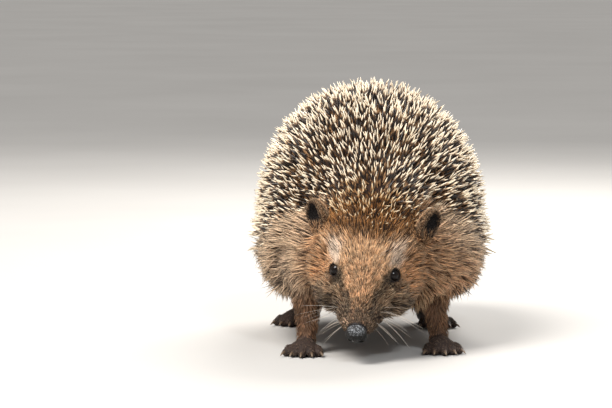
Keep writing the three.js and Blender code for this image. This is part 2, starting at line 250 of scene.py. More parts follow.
def eye_parts(h):
    """Distances of the socket's ball and of the lids, both in mirrored head coordinates."""
    s = mirrored(h)
    v = s - np.array(EYE_AT, s.dtype)
    r = length(v)
    ax = EYE_AXIS.astype(s.dtype)
    side = unit(np.cross(EYE_AXIS, (0, 0, 1))).astype(s.dtype)   # runs fore and aft
    up = np.cross(EYE_AXIS, side).astype(s.dtype)
    front = v @ ax
    x, y = v @ side, v @ up
    opening = np.sqrt((x / 3.35) ** 2 + (y / 3.0) ** 2) - 1      # almond, a little wider than high
    opening = np.where(front > 0, opening, 1)
    lid = np.maximum(np.abs(r - (EYE_R + 0.35)) - 0.32, -opening * 2.4)
    return r - (EYE_R + 0.12), lid


def skin(p, fine=True):
    """Distance to the bare skin. fine adds lids, mouth, philtrum and the nose pad's seat; ears' hollows and toes are
    always there.
    """
    n = len(p)
    big = F(60)
    d = trunk_skin(p)
    d = smin(d, neck_skin(p), 14)
    h = to_head(p)
    near = np.nonzero(np.abs(h).max(1) < 62)[0]
    if len(near):
        hn, pn = h[near], p[near]
        e = head_skin(hn)
        for s in (1, -1):
            c = EARS[s][0].astype(p.dtype)
            m = np.nonzero(length(pn - c) < 20)[0]
            if len(m):
                e[m] = smin(e[m], ear_skin(pn[m], s), 2.6)
        if fine:
            m = np.nonzero(length(mirrored(hn) - np.array(EYE_AT, hn.dtype)) < 10)[0]
            if len(m):
                ball, lid = eye_parts(hn[m])
                x = smax(e[m], -ball, 0.5)
                e[m] = smin(x, lid, 0.7)
            # mouth: a shallow groove along the lips
            m = np.nonzero((hn[:, 0] > -4) & (hn[:, 0] < 33) & (hn[:, 2] < -4) & (e < 2) & (e > -4))[0]
            if len(m):
                lips = np.array(LIPS, float)
                u = np.interp(hn[m, 0], lips[:, 0], lips[:, 1]).astype(p.dtype)
                g = np.sqrt((hn[m, 2] - u) ** 2 + np.minimum(e[m] + 0.7, 0) ** 2) - 0.42
                e[m] = smax(e[m], -g, 0.5)
            # philtrum and a seat for the nose pad
            m = np.nonzero(length(hn - np.array(NOSE_AT, hn.dtype)) < 9)[0]
            if len(m):
                g = ellipsoid(hn[m], NOSE_AT, np.array(NOSE_R) - 0.25)
                e[m] = smax(e[m], -g, 0.4)
        d[near] = smin(d[near], e, 12)
    low = np.nonzero(p[:, 2] < 66)[0]
    if len(low):
        pl = p[low]
        dl = d[low]
        for leg in LEGS.values():
            c = np.mean(leg["path"], 0).astype(p.dtype)
            m = np.nonzero(length(pl - c) < 52)[0]
            if len(m):
                dl[m] = smin(dl[m], leg_skin(pl[m], leg), 9)
        m = np.nonzero((pl[:, 1] > 150) & (np.abs(pl[:, 0]) < 30))[0]
        if len(m):
            dl[m] = smin(dl[m], cone(pl[m], TAIL["a"], TAIL["b"], TAIL["r"][0] - 1.0, TAIL["r"][1] - 0.8), 5)
        for spec in FEET.values():
            c = np.array([spec["heel"][0], spec["heel"][1], 5])
            m = np.nonzero((length(pl - c.astype(p.dtype)) < 46) & (pl[:, 2] < 20))[0]
            if len(m):
                dl[m] = smin(dl[m], foot_skin(pl[m], spec), 3.0)
        dl = smax(dl, (0.05 - pl[:, 2]).astype(p.dtype), 0.15)
        d[low] = dl
    return d


def gradient(f, p, e=0.35):
    g = np.empty_like(p)
    for k in range(3):
        o = np.zeros(3, p.dtype)
        o[k] = e
        g[:, k] = f(p + o) - f(p - o)
    return g / np.maximum(length(g), 1e-9)[:, None]


# ---------------------------------------------------------------- one closed mesh from the distance function
def lines(lo, hi, coarse, zones):
    out = [lo]
    while out[-1] < hi:
        x = out[-1] + 1e-6
        step = coarse
        for a, b, st in zones:
            if a <= x < b:
                step = min(step, st)
            elif x < a < x + step:
                step = min(step, max(a - x, st))
        out.append(out[-1] + step)
    return np.array(out, F)


def surface(f, xs, ys, zs, block=4):
    nx, ny, nz = len(xs), len(ys), len(zs)
    v = np.full((nx, ny, nz), 50, F)
    bi, bj, bk = [np.arange(0, n, block) for n in (nx, ny, nz)]

    def mid(a, b):
        e = np.minimum(b + block, len(a) - 1)
        return (a[b] + a[e]) / 2, (a[e] - a[b]) / 2

    (cx, hx), (cy, hy), (cz, hz) = mid(xs, bi), mid(ys, bj), mid(zs, bk)
    C = np.stack(np.meshgrid(cx, cy, cz, indexing="ij"), -1).reshape(-1, 3).astype(F)
    R = np.sqrt((np.stack(np.meshgrid(hx, hy, hz, indexing="ij"), -1) ** 2).sum(-1)).reshape(-1)
    dc = np.concatenate([f(C[i:i + 400000]) for i in range(0, len(C), 400000)])
    shape = (len(bi), len(bj), len(bk))
    busy = (np.abs(dc) < R * 1.6 + 3.0).reshape(shape)
    sign = (dc < 0).reshape(shape)
    full = np.repeat(np.repeat(np.repeat(busy, block, 0), block, 1), block, 2)[:nx, :ny, :nz]
    inside = np.repeat(np.repeat(np.repeat(sign, block, 0), block, 1), block, 2)[:nx, :ny, :nz]
    v[inside] = -50
    idx = np.argwhere(full)
    for i in range(0, len(idx), 500000):
        t = idx[i:i + 500000]
        P = np.stack([xs[t[:, 0]], ys[t[:, 1]], zs[t[:, 2]]], 1)
        v[t[:, 0], t[:, 1], t[:, 2]] = f(P)
    s = v < 0
    corners = [(a, b, c) for a in (0, 1) for b in (0, 1) for c in (0, 1)]
    count = np.zeros((nx - 1, ny - 1, nz - 1), np.int8)
    for a, b, c in corners:
        count += s[a:nx - 1 + a, b:ny - 1 + b, c:nz - 1 + c]
    cell = np.argwhere((count > 0) & (count < 8))
    ids = np.full((nx - 1, ny - 1, nz - 1), -1, np.int32)
    ids[cell[:, 0], cell[:, 1], cell[:, 2]] = np.arange(len(cell))
    val = {c: v[cell[:, 0] + c[0], cell[:, 1] + c[1], cell[:, 2] + c[2]] for c in corners}
    pos = {c: np.stack([xs[cell[:, 0] + c[0]], ys[cell[:, 1] + c[1]], zs[cell[:, 2] + c[2]]], 1) for c in corners}
    total, hits = np.zeros((len(cell), 3)), np.zeros(len(cell))
    for a in corners:
        for k in range(3):
            if a[k]:
                continue
            b = tuple(x + (1 if i == k else 0) for i, x in enumerate(a))
            va, vb = val[a], val[b]
            m = (va < 0) != (vb < 0)
            t = (va / np.where(m, va - vb, 1))[:, None]
            total += np.where(m[:, None], pos[a] + (pos[b] - pos[a]) * t, 0)
            hits += m
    verts = total / hits[:, None]
    faces = []
    for axis in range(3):
        o = [1, 2] if axis == 0 else [0, 2] if axis == 1 else [0, 1]
        n = [nx, ny, nz]
        sl0 = [slice(1, n[i] - 1) for i in range(3)]
        sl0[axis] = slice(0, n[axis] - 1)
        sl1 = list(sl0)
        sl1[axis] = slice(1, n[axis])
        s0, s1 = s[tuple(sl0)], s[tuple(sl1)]
        e = np.argwhere(s0 != s1)
        flip = s1[e[:, 0], e[:, 1], e[:, 2]]
        base = e.copy()
        for i in range(3):
            if i != axis:
                base[:, i] += 1
        quad = []
        for du, dv in ((1, 1), (0, 1), (0, 0), (1, 0)):
            c = base.copy()
            c[:, o[0]] -= du
            c[:, o[1]] -= dv
            quad.append(ids[c[:, 0], c[:, 1], c[:, 2]])
        q = np.stack(quad, 1)
        if axis == 1:
            flip = ~flip
        q[flip] = q[flip][:, ::-1]
        faces.append(q)
    return verts, np.concatenate(faces)


# ---------------------------------------------------------------- meshes in Blender
def to_row(p):
    q = np.asarray(p, float).copy()
    q[:, 0] -= ORIGIN[0]
    q[:, 1] -= ORIGIN[1]
    return q / 1000


def make_mesh(name, verts, faces, material, smooth_shade=True, attrs=None, uv=None):
    """faces: array of triangles or quads, all of one size. attrs: name -> (N,) floats or (N,3) colours on the points."""
    me = bpy.data.meshes.new(name)
    k = faces.shape[1]
    me.vertices.add(len(verts))
    me.vertices.foreach_set("co", to_row(verts).astype(F).ravel())
    me.loops.add(faces.size)
    me.loops.foreach_set("vertex_index", faces.astype(np.int32).ravel())
    me.polygons.add(len(faces))
    me.polygons.foreach_set("loop_start", np.arange(0, faces.size, k, dtype=np.int32))
    me.polygons.foreach_set("use_smooth", np.full(len(faces), smooth_shade))
    if uv is not None:
        layer = me.uv_layers.new(name="OFBake", do_init=False)
        layer.uv.foreach_set("vector", uv[faces.ravel()].astype(F).ravel())
    for key, value in (attrs or {}).items():
        if value.ndim == 1:
            me.attributes.new(key, "FLOAT", "POINT").data.foreach_set("value", value.astype(F))
        else:
            rgba = np.ones((len(value), 4), F)
            rgba[:, :3] = value
            me.attributes.new(key, "FLOAT_COLOR", "POINT").data.foreach_set("color", rgba.ravel())
    me.update(calc_edges=True)
    me.validate()
    ob = bpy.data.objects.new(name, me)
    bpy.context.scene.collection.objects.link(ob)
    me.materials.append(material)
    return ob


# ---------------------------------------------------------------- markings, shared by skin and coat, some of them painted light and shade
# sRGB colours, turned into linear light
def rgb(r, g, b):
    c = np.array([r, g, b], float)
    return np.where(c <= 0.04045, c / 12.92, ((c + 0.055) / 1.055) ** 2.4)


TAN = rgb(0.70, 0.53, 0.385)         # bridge of the muzzle, between the eyes
BUFF = rgb(0.82, 0.65, 0.49)         # forehead
WHITISH = rgb(0.92, 0.85, 0.79)      # patch over each eye
MASK = rgb(0.19, 0.14, 0.115)        # round the eyes and down the sides of the muzzle
MUZZLE = rgb(0.26, 0.185, 0.14)      # sides of the muzzle, lips
CHEEK = rgb(0.71, 0.51, 0.345)       # orange-brown cheeks
CHESTNUT = rgb(0.45, 0.29, 0.14)    # brow, first rows of spines
DARK_BROWN = rgb(0.20, 0.13, 0.09)
FLANK = rgb(0.87, 0.67, 0.51)
FLANK_PALE_AND_PAINTED_LIGHT = rgb(0.93, 0.83, 0.72)   # paler flanks towards the spines' edge, partly the fur's own colour and partly painted light; over the animal's right flank, towards the key light, painted light
BELLY = rgb(0.48, 0.36, 0.26)
LEG = rgb(0.54, 0.40, 0.30)
FOOT = rgb(0.30, 0.235, 0.21)
# inside of the ear: its dark skin, made near black as painted shade in the hollow
EAR_IN_SKIN_AND_SHADE = rgb(0.065, 0.035, 0.025)
EAR_EDGE = rgb(0.50, 0.36, 0.24)
MANTLE_SKIN = rgb(0.22, 0.13, 0.08)


def wave(p, scale, seed):
    """Smooth random field from a few sines, -1 to 1."""
    rng = np.random.default_rng(seed)
    out = np.zeros(len(p))
    for _ in range(7):
        k = unit(rng.normal(size=3)) * rng.uniform(0.6, 1.6) / scale
        out += np.sin(p @ k * 2 * math.pi + rng.uniform(0, 6.28))
    return out / 3.5


def parts_at(p):
    """Distance to each named part's own skin, as columns."""
    h = to_head(p)
    names, cols = ["head", "neck", "trunk"], [head_skin(h), neck_skin(p), trunk_skin(p)]
    names.append("ear")
    cols.append(np.minimum(ear_skin(p, 1), ear_skin(p, -1)) - 0.8)
    names.append("leg")
    cols.append(np.min([leg_skin(p, leg) for leg in LEGS.values()], 0))
    names.append("foot")
    cols.append(np.min([foot_skin(p, s) for s in FEET.values()], 0))
    names.append("tail")
    cols.append(cone(p, TAIL["a"], TAIL["b"], 4, 1.4))
    return names, np.stack(cols, 1)


def mantle_at(p, h):
    """Share of spines at a point of the skin: over the back, down to the skirt's edge, forwards to the brow."""
    edge = np.interp(p[:, 1], MANTLE_EDGE[:, 0], MANTLE_EDGE[:, 1])
    ragged = 1.6 * wave(p, 14, 5)
    back = smooth(-2.5, 2.5, p[:, 2] - edge + ragged)
    peak = -15.2 - 4.4 * smooth(4, 20, np.abs(h[:, 1])) + 2.2 * np.exp(-(h[:, 1] / 5) ** 2) + 0.8 * wave(p, 6, 7)
    brow = smooth(3.0, -3.0, h[:, 0] - peak) * smooth(2, 8, h[:, 2]) * smooth(30, 22, np.abs(h[:, 1]))
    back = back * smooth(-4, 8, -h[:, 0] - 12)                     # none on the face
    return np.maximum(back, brow)


def put(col, new, m):
    return col + (new - col) * m[:, None]


def region(p):
    """Colour of the coat, its part and share of spines at points of the skin, with their head coordinates and distances
    to the parts.
    """
    h = to_head(p)
    names, d = parts_at(p)
    part = np.argmin(d, 1)
    is_ = {n: part == i for i, n in enumerate(names)}
    a, l, u = h[:, 0], np.abs(h[:, 1]), h[:, 2]
    n = len(p)
    near_head = smooth(26, 6, d[:, 0])
    # trunk and neck
    col = np.tile(FLANK, (n, 1))
    right = smooth(5, -25, p[:, 0] - BODY_X)
    edge = np.interp(p[:, 1], MANTLE_EDGE[:, 0], MANTLE_EDGE[:, 1])
    # paler flank: painted light over the animal's right side, which faces the key light; towards the spines' edge
    # partly the fur's own paler colour and partly painted light
    col = put(col, FLANK_PALE_AND_PAINTED_LIGHT, np.maximum(0.8 * right, 0.85 * smooth(-28, -4, p[:, 2] - edge)) * smooth(22, 34, np.abs(p[:, 0] - BODY_X) + 0.25 * p[:, 1]))
    col = put(col, BELLY, smooth(40, 24, p[:, 2]))
    col = put(col, CHEEK, (0.66 - 0.36 * right) * smooth(20, 6, d[:, 0]) * smooth(90, 60, p[:, 2]))
    col = put(col, DARK_BROWN, (0.36 - 0.19 * right) * smooth(0.15, 0.75, wave(p, 17, 66)) * smooth(30, 12, d[:, 0]))
    # head
    phi = np.degrees(np.arctan2(l, u + 5.5))                      # 0 on top of the muzzle, 90 at its side
    hc = np.tile(TAN, (n, 1))
    hc = put(hc, BUFF, smooth(8, -3, a))
    hc = put(hc, CHEEK, smooth(58, 86, phi) * smooth(16, 4, a))
    hc = put(hc, CHEEK, smooth(9, 17, l) * smooth(4, -8, a) * smooth(8, -2, u))
    hc = put(hc, MUZZLE, smooth(62, 88, phi) * smooth(3, 12, a))
    hc = put(hc, MUZZLE, 0.95 * smooth(18, 26, a + 0.12 * phi - 3.5 + 1.5 * wave(p, 6, 61)))
    beside = length((mirrored(h) - np.array([30.5, 5.2, -2.6])) / np.array([4.6, 2.6, 3.5]))
    hc = put(hc, rgb(0.60, 0.50, 0.42), smooth(1.2, 0.3, beside) * np.where(h[:, 1] < 0, 0.65, 0.35))
    line = mix(63, 44, smooth(2, 20, a)) + 5 * wave(p, 7, 62)
    stripe = np.exp(-((phi - line) / np.where(phi > line, 24, 12)) ** 2) * smooth(-1, 4, a) * smooth(30, 24, a)
    hc = put(hc, MASK * 0.8, 0.97 * stripe)
    eye = length((mirrored(h) - np.array([EYE_AT[0] + 1.8, EYE_AT[1] - 2.1, EYE_AT[2] + 0.2])) / np.array([1.25, 0.84, 0.95]))
    patch = length((mirrored(h) - np.array([-4.6, 14.0, 6.5])) / np.array([5.8, 5.2, 6.0])) + 0.14 * wave(p, 5, 63)
    hc = put(hc, WHITISH, smooth(1.3, 0.4, patch) * np.where(h[:, 1] < 0, 0.85, 0.72))
    hc = put(hc, MASK, 0.9 * smooth(5.5, 3.5, eye + 0.35 * wave(p, 2.2, 67)))
    corner = length((mirrored(h) - np.array([EYE_AT[0] + 2.3, EYE_AT[1] - 1.7, EYE_AT[2] - 0.5])) / np.array([1.15, 0.8, 1.0]))
    hc = put(hc, rgb(0.10, 0.075, 0.065), smooth(4.3, 3.0, corner))
    hc = put(hc, CHESTNUT, smooth(-2.0, -10.5, a + 0.45 * np.maximum(l - 5, 0) + 1.5 * wave(p, 6, 64) + 2.6 * wave(p, 1.3, 68)) * smooth(0, 7, u) * 0.97)
    hc = put(hc, MUZZLE, smooth(-9, -14, u) * 0.6)
    w = smooth(7, -2, d[:, 0] - np.minimum(d[:, 1], d[:, 2]))
    col = put(col, hc, np.maximum(w, is_["head"] * 1.0))
    col = put(col, LEG, smooth(2.5, -1.5, d[:, 4] - np.minimum(d[:, 2], d[:, 1])) * (~is_["head"]) * smooth(36, 24, p[:, 2]))
    col = put(col, FOOT, smooth(1.5, -1.0, d[:, 5] - np.minimum(d[:, 4], 8)))
    # ears: dark inside, the ear's own dark skin made near black with painted shade for the hollow, brown at the edge
    # and behind
    for s in (1, -1):
        mid, ed, ea, ef = EARS[s]
        q = (p - mid) @ np.stack([ed, ea, ef]).T
        m = is_["ear"] & (np.sign(h[:, 1]) == s)
        inside = smooth(1.1, 0.85, np.sqrt((q[:, 0] / 8.5) ** 2 + (q[:, 1] / 6.0) ** 2)) * (q[:, 2] < 1.2)
        col = np.where(m[:, None], put(np.tile(EAR_EDGE, (n, 1)), EAR_IN_SKIN_AND_SHADE, inside), col)
    col = put(col, FOOT, is_["tail"] * 1.0)
    mantle = mantle_at(p, h) * (is_["head"] | is_["neck"] | is_["trunk"])
    return dict(h=h, d=d, part=part, is_=is_, col=col, mantle=mantle, eye=eye, phi=phi, near_head=near_head)


# ---------------------------------------------------------------- materials
def nodes_of(name):
    m = bpy.data.materials.new(name)
    m.use_nodes = True
    t = m.node_tree
    t.nodes.clear()
    out = t.nodes.new("ShaderNodeOutputMaterial")
    bsdf = t.nodes.new("ShaderNodeBsdfPrincipled")
    t.links.new(bsdf.outputs[0], out.inputs[0])
    return m, t, bsdf


def node(t, kind, **values):
    n = t.nodes.new(kind)
    for k, v in values.items():
        if k.startswith("in_"):
            key = k[3:]
            n.inputs[int(key) if key.isdigit() else key.replace("_", " ")].default_value = v
        else:
            setattr(n, k, v)
    return n


def attribute(t, name):
    return node(t, "ShaderNodeAttribute", attribute_name=name)


def ramp(t, fac, stops, mode="LINEAR"):
    r = t.nodes.new("ShaderNodeValToRGB")
    r.color_ramp.interpolation = mode
    while len(r.color_ramp.elements) < len(stops):
        r.color_ramp.elements.new(0.5)
    for e, (at, c) in zip(r.color_ramp.elements, stops):
        e.position = at
        e.color = (*c, 1) if len(c) == 3 else c
    t.links.new(fac, r.inputs[0])
    return r.outputs[0]


def math_node(t, op, a, b=None, c=None, clamp=False):
    n = node(t, "ShaderNodeMath", operation=op, use_clamp=clamp)
    for i, x in enumerate((a, b, c)):
        if x is None:
            continue
        if isinstance(x, (int, float)):
            n.inputs[i].default_value = x
        else:
            t.links.new(x, n.inputs[i])
    return n.outputs[0]


def mix_colour(t, fac, a, b, mode="MIX"):
    n = node(t, "ShaderNodeMix", data_type="RGBA", blend_type=mode)
    for i, x in ((0, fac), (6, a), (7, b)):
        if isinstance(x, (int, float)):
            n.inputs[i].default_value = x
        elif isinstance(x, (tuple, list, np.ndarray)):
            n.inputs[i].default_value = (*[float(v) for v in x], 1)
        else:
            t.links.new(x, n.inputs[i])
    return n.outputs[2]


def noise(t, scale, detail=3, rough=0.55, vector=None):
    n = node(t, "ShaderNodeTexNoise", in_Scale=scale, in_Detail=detail, in_Roughness=rough)
    if vector is None:
        vector = t.nodes.new("ShaderNodeTexCoord").outputs["Object"]
    t.links.new(vector, n.inputs["Vector"])
    return n.outputs["Fac"]


def bump(t, bsdf, height, strength, distance):
    n = node(t, "ShaderNodeBump", in_Strength=strength, in_Distance=distance)
    t.links.new(height, n.inputs["Height"])
    t.links.new(n.outputs[0], bsdf.inputs["Normal"])


def skin_material():
    m, t, b = nodes_of("hedgehog_skin")
    col = attribute(t, "mark").outputs["Color"]
    bare = attribute(t, "bare").outputs["Fac"]
    fine = noise(t, 900, 4)
    soft = noise(t, 160, 3)
    col = mix_colour(t, 1.0, col, ramp(t, soft, ((0.3, (0.62, 0.6, 0.58)), (0.7, (1.15, 1.1, 1.05)))), "MULTIPLY")
    t.links.new(col, b.inputs["Base Color"])
    vor = node(t, "ShaderNodeTexVoronoi", in_Scale=1500.0)
    t.links.new(t.nodes.new("ShaderNodeTexCoord").outputs["Object"], vor.inputs["Vector"])
    t.links.new(ramp(t, bare, ((0, (0.8,) * 3), (1, (0.48,) * 3))), b.inputs["Roughness"])
    h = math_node(t, "MULTIPLY_ADD", math_node(t, "MULTIPLY", vor.outputs["Distance"], bare), 0.8, fine)
    bump(t, b, h, 0.5, 0.00025)
    b.inputs["Specular IOR Level"].default_value = 0.3
    return m


def eye_material():
    m, t, b = nodes_of("hedgehog_eye")
    n = noise(t, 700, 2)
    t.links.new(ramp(t, n, ((0.35, (0.0035, 0.003, 0.003)), (0.75, (0.014, 0.009, 0.007)))), b.inputs["Base Color"])
    t.links.new(ramp(t, noise(t, 300, 2), ((0.3, (0.03,) * 3), (0.8, (0.07,) * 3))), b.inputs["Roughness"])
    b.inputs["Specular IOR Level"].default_value = 0.0
    b.inputs["Coat Weight"].default_value = 0.7
    b.inputs["Coat IOR"].default_value = 1.36
    b.inputs["Coat Roughness"].default_value = 0.03
    return m


def nose_material():
    """Bare wet skin: black below; above, greyer granular skin, lightened further by a painted highlight, a bluish
    painted reflection of the lights on the wet top.
    """
    m, t, b = nodes_of("hedgehog_nose")
    vor = node(t, "ShaderNodeTexVoronoi", in_Scale=1700.0)
    vor.feature = "DISTANCE_TO_EDGE"
    t.links.new(t.nodes.new("ShaderNodeTexCoord").outputs["Object"], vor.inputs["Vector"])
    grain = ramp(t, vor.outputs["Distance"], ((0.0, (0.0,) * 3), (0.16, (1.0,) * 3)))
    base = ramp(t, noise(t, 500, 3), ((0.3, (0.004, 0.0035, 0.0035)), (0.75, (0.014, 0.011, 0.010))))
    # light: the top's greyer skin and, bluish white, a painted reflection of the lights above
    light = ramp(t, noise(t, 900, 2), ((0.3, (0.26, 0.275, 0.30)), (0.7, (0.62, 0.65, 0.69))))
    col = mix_colour(t, attribute(t, "pale").outputs["Fac"], base, light)
    t.links.new(mix_colour(t, 0.6, col, mix_colour(t, 1.0, col, grain, "MULTIPLY")), b.inputs["Base Color"])
    t.links.new(ramp(t, noise(t, 420, 3), ((0.35, (0.22,) * 3), (0.7, (0.42,) * 3))), b.inputs["Roughness"])
    b.inputs["Specular IOR Level"].default_value = 0.15
    b.inputs["Coat Weight"].default_value = 0.22
    b.inputs["Coat IOR"].default_value = 1.38
    b.inputs["Coat Roughness"].default_value = 0.14
    bump(t, b, math_node(t, "ADD", grain, math_node(t, "MULTIPLY", noise(t, 650, 2), 2.5)), 1.0, 0.00045)
    return m


def claw_material():
    m, t, b = nodes_of("hedgehog_claw")
    along = attribute(t, "along").outputs["Fac"]
    c = ramp(t, along, ((0.0, rgb(0.22, 0.17, 0.14)), (0.6, rgb(0.36, 0.29, 0.23)), (1.0, rgb(0.55, 0.47, 0.38))))
    t.links.new(mix_colour(t, 1.0, c, ramp(t, noise(t, 800, 3), ((0.3, (0.75,) * 3), (0.7, (1.1,) * 3))), "MULTIPLY"), b.inputs["Base Color"])
    t.links.new(ramp(t, noise(t, 600, 2), ((0.3, (0.32,) * 3), (0.7, (0.5,) * 3))), b.inputs["Roughness"])
    bump(t, b, noise(t, 1500, 2), 0.25, 0.0001)
    return m


def hair_material(name, rough=0.55):
    """Fur: the marking at the root, darker at the base, partly the hair's own colour and partly painted shade deep in
    the coat, and paler at the tip, uneven from hair to hair.
    """
    m, t, b = nodes_of(name)
    col = attribute(t, "mark").outputs["Color"]
    streak = noise(t, 1200, 2)
    col = mix_colour(t, 1.0, col, ramp(t, streak, ((0.3, (0.82,) * 3), (0.7, (1.12,) * 3))), "MULTIPLY")
    t.links.new(col, b.inputs["Base Color"])
    t.links.new(ramp(t, noise(t, 500, 2), ((0.3, (rough - 0.08,) * 3), (0.7, (rough + 0.1,) * 3))), b.inputs["Roughness"])
    b.inputs["Specular IOR Level"].default_value = 0.18
    b.inputs["Sheen Weight"].default_value = 0.05
    b.inputs["Sheen Roughness"].default_value = 0.4
    bump(t, b, streak, 0.25, 0.00008)
    return m


def spine_material():
    """Spines: cream tip and dark band; the base, cream on the real spines, is painted warm brown as painted shade and
    warm bounce light deep in the coat. warm marks the chestnut ones of the brow.
    """
    m, t, b = nodes_of("hedgehog_spine")
    along = attribute(t, "along").outputs["Fac"]
    shift = attribute(t, "shift").outputs["Fac"]
    warm = attribute(t, "warm").outputs["Fac"]
    tone = attribute(t, "tone").outputs["Fac"]
    x = math_node(t, "ADD", along, shift)
    dark, tip = rgb(0.14, 0.11, 0.10), rgb(0.955, 0.885, 0.775)
    # the stops up to 0.38 paint the spine's cream base brown: painted shade and warm bounce light, not the spine's own
    # colour
    cool = ramp(t, x, ((0.0, rgb(0.46, 0.33, 0.22)), (0.3, rgb(0.74, 0.58, 0.42)), (0.38, rgb(0.42, 0.30, 0.21)), (0.44, dark), (0.715, dark), (0.765, rgb(0.50, 0.37, 0.26)), (0.81, tip), (1.0, rgb(0.975, 0.925, 0.84))))
    hot = ramp(t, x, ((0.0, rgb(0.44, 0.28, 0.13)), (0.35, rgb(0.70, 0.48, 0.25)), (0.45, rgb(0.16, 0.10, 0.06)), (0.60, rgb(0.15, 0.095, 0.06)), (0.67, rgb(0.74, 0.50, 0.25)), (0.77, rgb(0.94, 0.80, 0.60)), (1.0, rgb(0.98, 0.91, 0.77))))
    col = mix_colour(t, warm, cool, hot)
    fine = noise(t, 1600, 2)
    col = mix_colour(t, 1.0, col, ramp(t, fine, ((0.3, (0.86,) * 3), (0.7, (1.06,) * 3))), "MULTIPLY")
    col = mix_colour(t, 1.0, col, ramp(t, tone, ((0.0, (0.62, 0.6, 0.57)), (0.5, (0.95,) * 3), (1.0, (1.0, 1.0, 1.0)))), "MULTIPLY")
    t.links.new(col, b.inputs["Base Color"])
    t.links.new(ramp(t, fine, ((0.3, (0.30,) * 3), (0.7, (0.46,) * 3))), b.inputs["Roughness"])
    bump(t, b, fine, 0.2, 0.00006)
    return m


def floor_material():
    m, t, b = nodes_of("studio_floor")
    n = noise(t, 3, 3)
    t.links.new(ramp(t, n, ((0.3, (0.48, 0.472, 0.46)), (0.7, (0.52, 0.512, 0.50)))), b.inputs["Base Color"])
    b.inputs["Roughness"].default_value = 0.85
    return m


# ---------------------------------------------------------------- camera, lights, floor
def stage_all():
    e = 5 * DEG
    fwd = np.array([0, math.cos(e), -math.sin(e)])
    target = np.array([-32, 0, 78.3])
    cam = bpy.data.cameras.new("camera")
    cam.lens, cam.sensor_width = 36 * 1500 / 306, 36
    cam.clip_start, cam.clip_end = 0.05, 20
    ob = bpy.data.objects.new("camera", cam)
    bpy.context.scene.collection.objects.link(ob)
    ob.location = to_row((target - fwd * 1500)[None])[0]
    ob.rotation_euler = (math.pi / 2 - e, 0, 0)
    bpy.context.scene.camera = ob

    def area(name, at, towards, size, power, colour=(1, 1, 1)):
        d = bpy.data.lights.new(name, "AREA")
        d.shape, d.size, d.size_y = "RECTANGLE", size[0], size[1]
        d.energy, d.color = power, colour
        o = bpy.data.objects.new(name, d)
        bpy.context.scene.collection.objects.link(o)
        o.location = at
        v = np.array(towards) - np.array(at)
        from mathutils import Vector
        o.rotation_euler = Vector(v).to_track_quat("-Z", "Y").to_euler()
        return o

    area("key", (-0.42, -0.42, 0.92), (0, -0.02, 0.08), (0.5, 0.4), 10.2, (1.0, 0.955, 0.90))
    sun = bpy.data.lights.new("sky", "SUN")
    sun.energy, sun.angle, sun.color = 1.5, 25 * DEG, (1.0, 0.965, 0.92)
    o = bpy.data.objects.new("sky", sun)
    bpy.context.scene.collection.objects.link(o)
    from mathutils import Vector
    o.rotation_euler = Vector((0.42, 0.42, -0.84)).to_track_quat("-Z", "Y").to_euler()
    area("fill", (0.28, -1.05, 0.92), (0, -0.02, 0.07), (0.24, 0.20), 6.5, (0.95, 0.98, 1.0))
    area("back", (0.30, 0.80, 0.80), (0, 0.02, 0.08), (0.6, 0.4), 14, (1.0, 0.96, 0.91))
    world = bpy.data.worlds.new("studio")
    bpy.context.scene.world = world
    world.use_nodes = True
    bg = world.node_tree.nodes["Background"]
    bg.inputs[0].default_value = (1.0, 0.985, 0.97, 1)
    bg.inputs[1].default_value = 0.36
    x = np.linspace(-30, 30, 13)
    v = np.array([(a, b, 0.0) for b in x for a in x])
    f = np.array([(i * 13 + j, i * 13 + j + 1, (i + 1) * 13 + j + 1, (i + 1) * 13 + j) for i in range(12) for j in range(12)])
    me = bpy.data.meshes.new("floor")
    me.from_pydata(v.tolist(), [], f.tolist())
    for p in me.polygons:
        p.use_smooth = True
    me.materials.append(floor_material())
    fl = bpy.data.objects.new("floor", me)
    bpy.context.scene.collection.objects.link(fl)


bpy.context.scene.view_settings.view_transform = "Standard"
stage_all()

# ---------------------------------------------------------------- the skin
H_F, H_C = 0.62, 2.0
xs = lines(-68, 74, H_C, [(-40, 38, H_F), (-48, -40, 1.0), (38, 52, 1.0)])
ys = lines(-26, 200, H_C, [(-24, 34, H_F), (118, 162, 1.05)])
zs = lines(-2.0, 134, H_C, [(-2.0, 11, 0.9), (12, 84, H_F)])
verts, quads = surface(skin, xs, ys, zs)
P = verts.astype(F)
for _ in range(2):
    d0 = skin(P)
    P = P - gradient(skin, P, 0.2) * np.clip(d0, -0.5, 0.5)[:, None] * 0.9
P = P.astype(float)
P[:, 2] = np.maximum(P[:, 2], 0.0)
reg = region(P)
bare = np.maximum(reg["is_"]["foot"] * smooth(4.5, 1.5, P[:, 2]), 0.0)
bare = np.maximum(bare, smooth(7.2, 5.4, length(reg["h"] - np.array(NOSE_AT))))
bare = np.maximum(bare, smooth(6.0, 4.4, length(mirrored(reg["h"]) - np.array(EYE_AT))))
under = put(reg["col"] * 0.42, MANTLE_SKIN * 0.5, reg["mantle"])
under = put(under, MASK * 0.3, smooth(5.4, 4.3, length(mirrored(reg["h"]) - np.array(EYE_AT))))
under = put(under, rgb(0.10, 0.085, 0.085), smooth(6.8, 5.4, length(reg["h"] - np.array(NOSE_AT))))
body = make_mesh("skin", P, quads, skin_material(), attrs=dict(mark=under, bare=bare))
print("skin", len(P), "verts", len(quads), "quads")
FLESH = [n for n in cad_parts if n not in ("eye_left", "eye_right", "nose")]
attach(body, "root")
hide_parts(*FLESH)

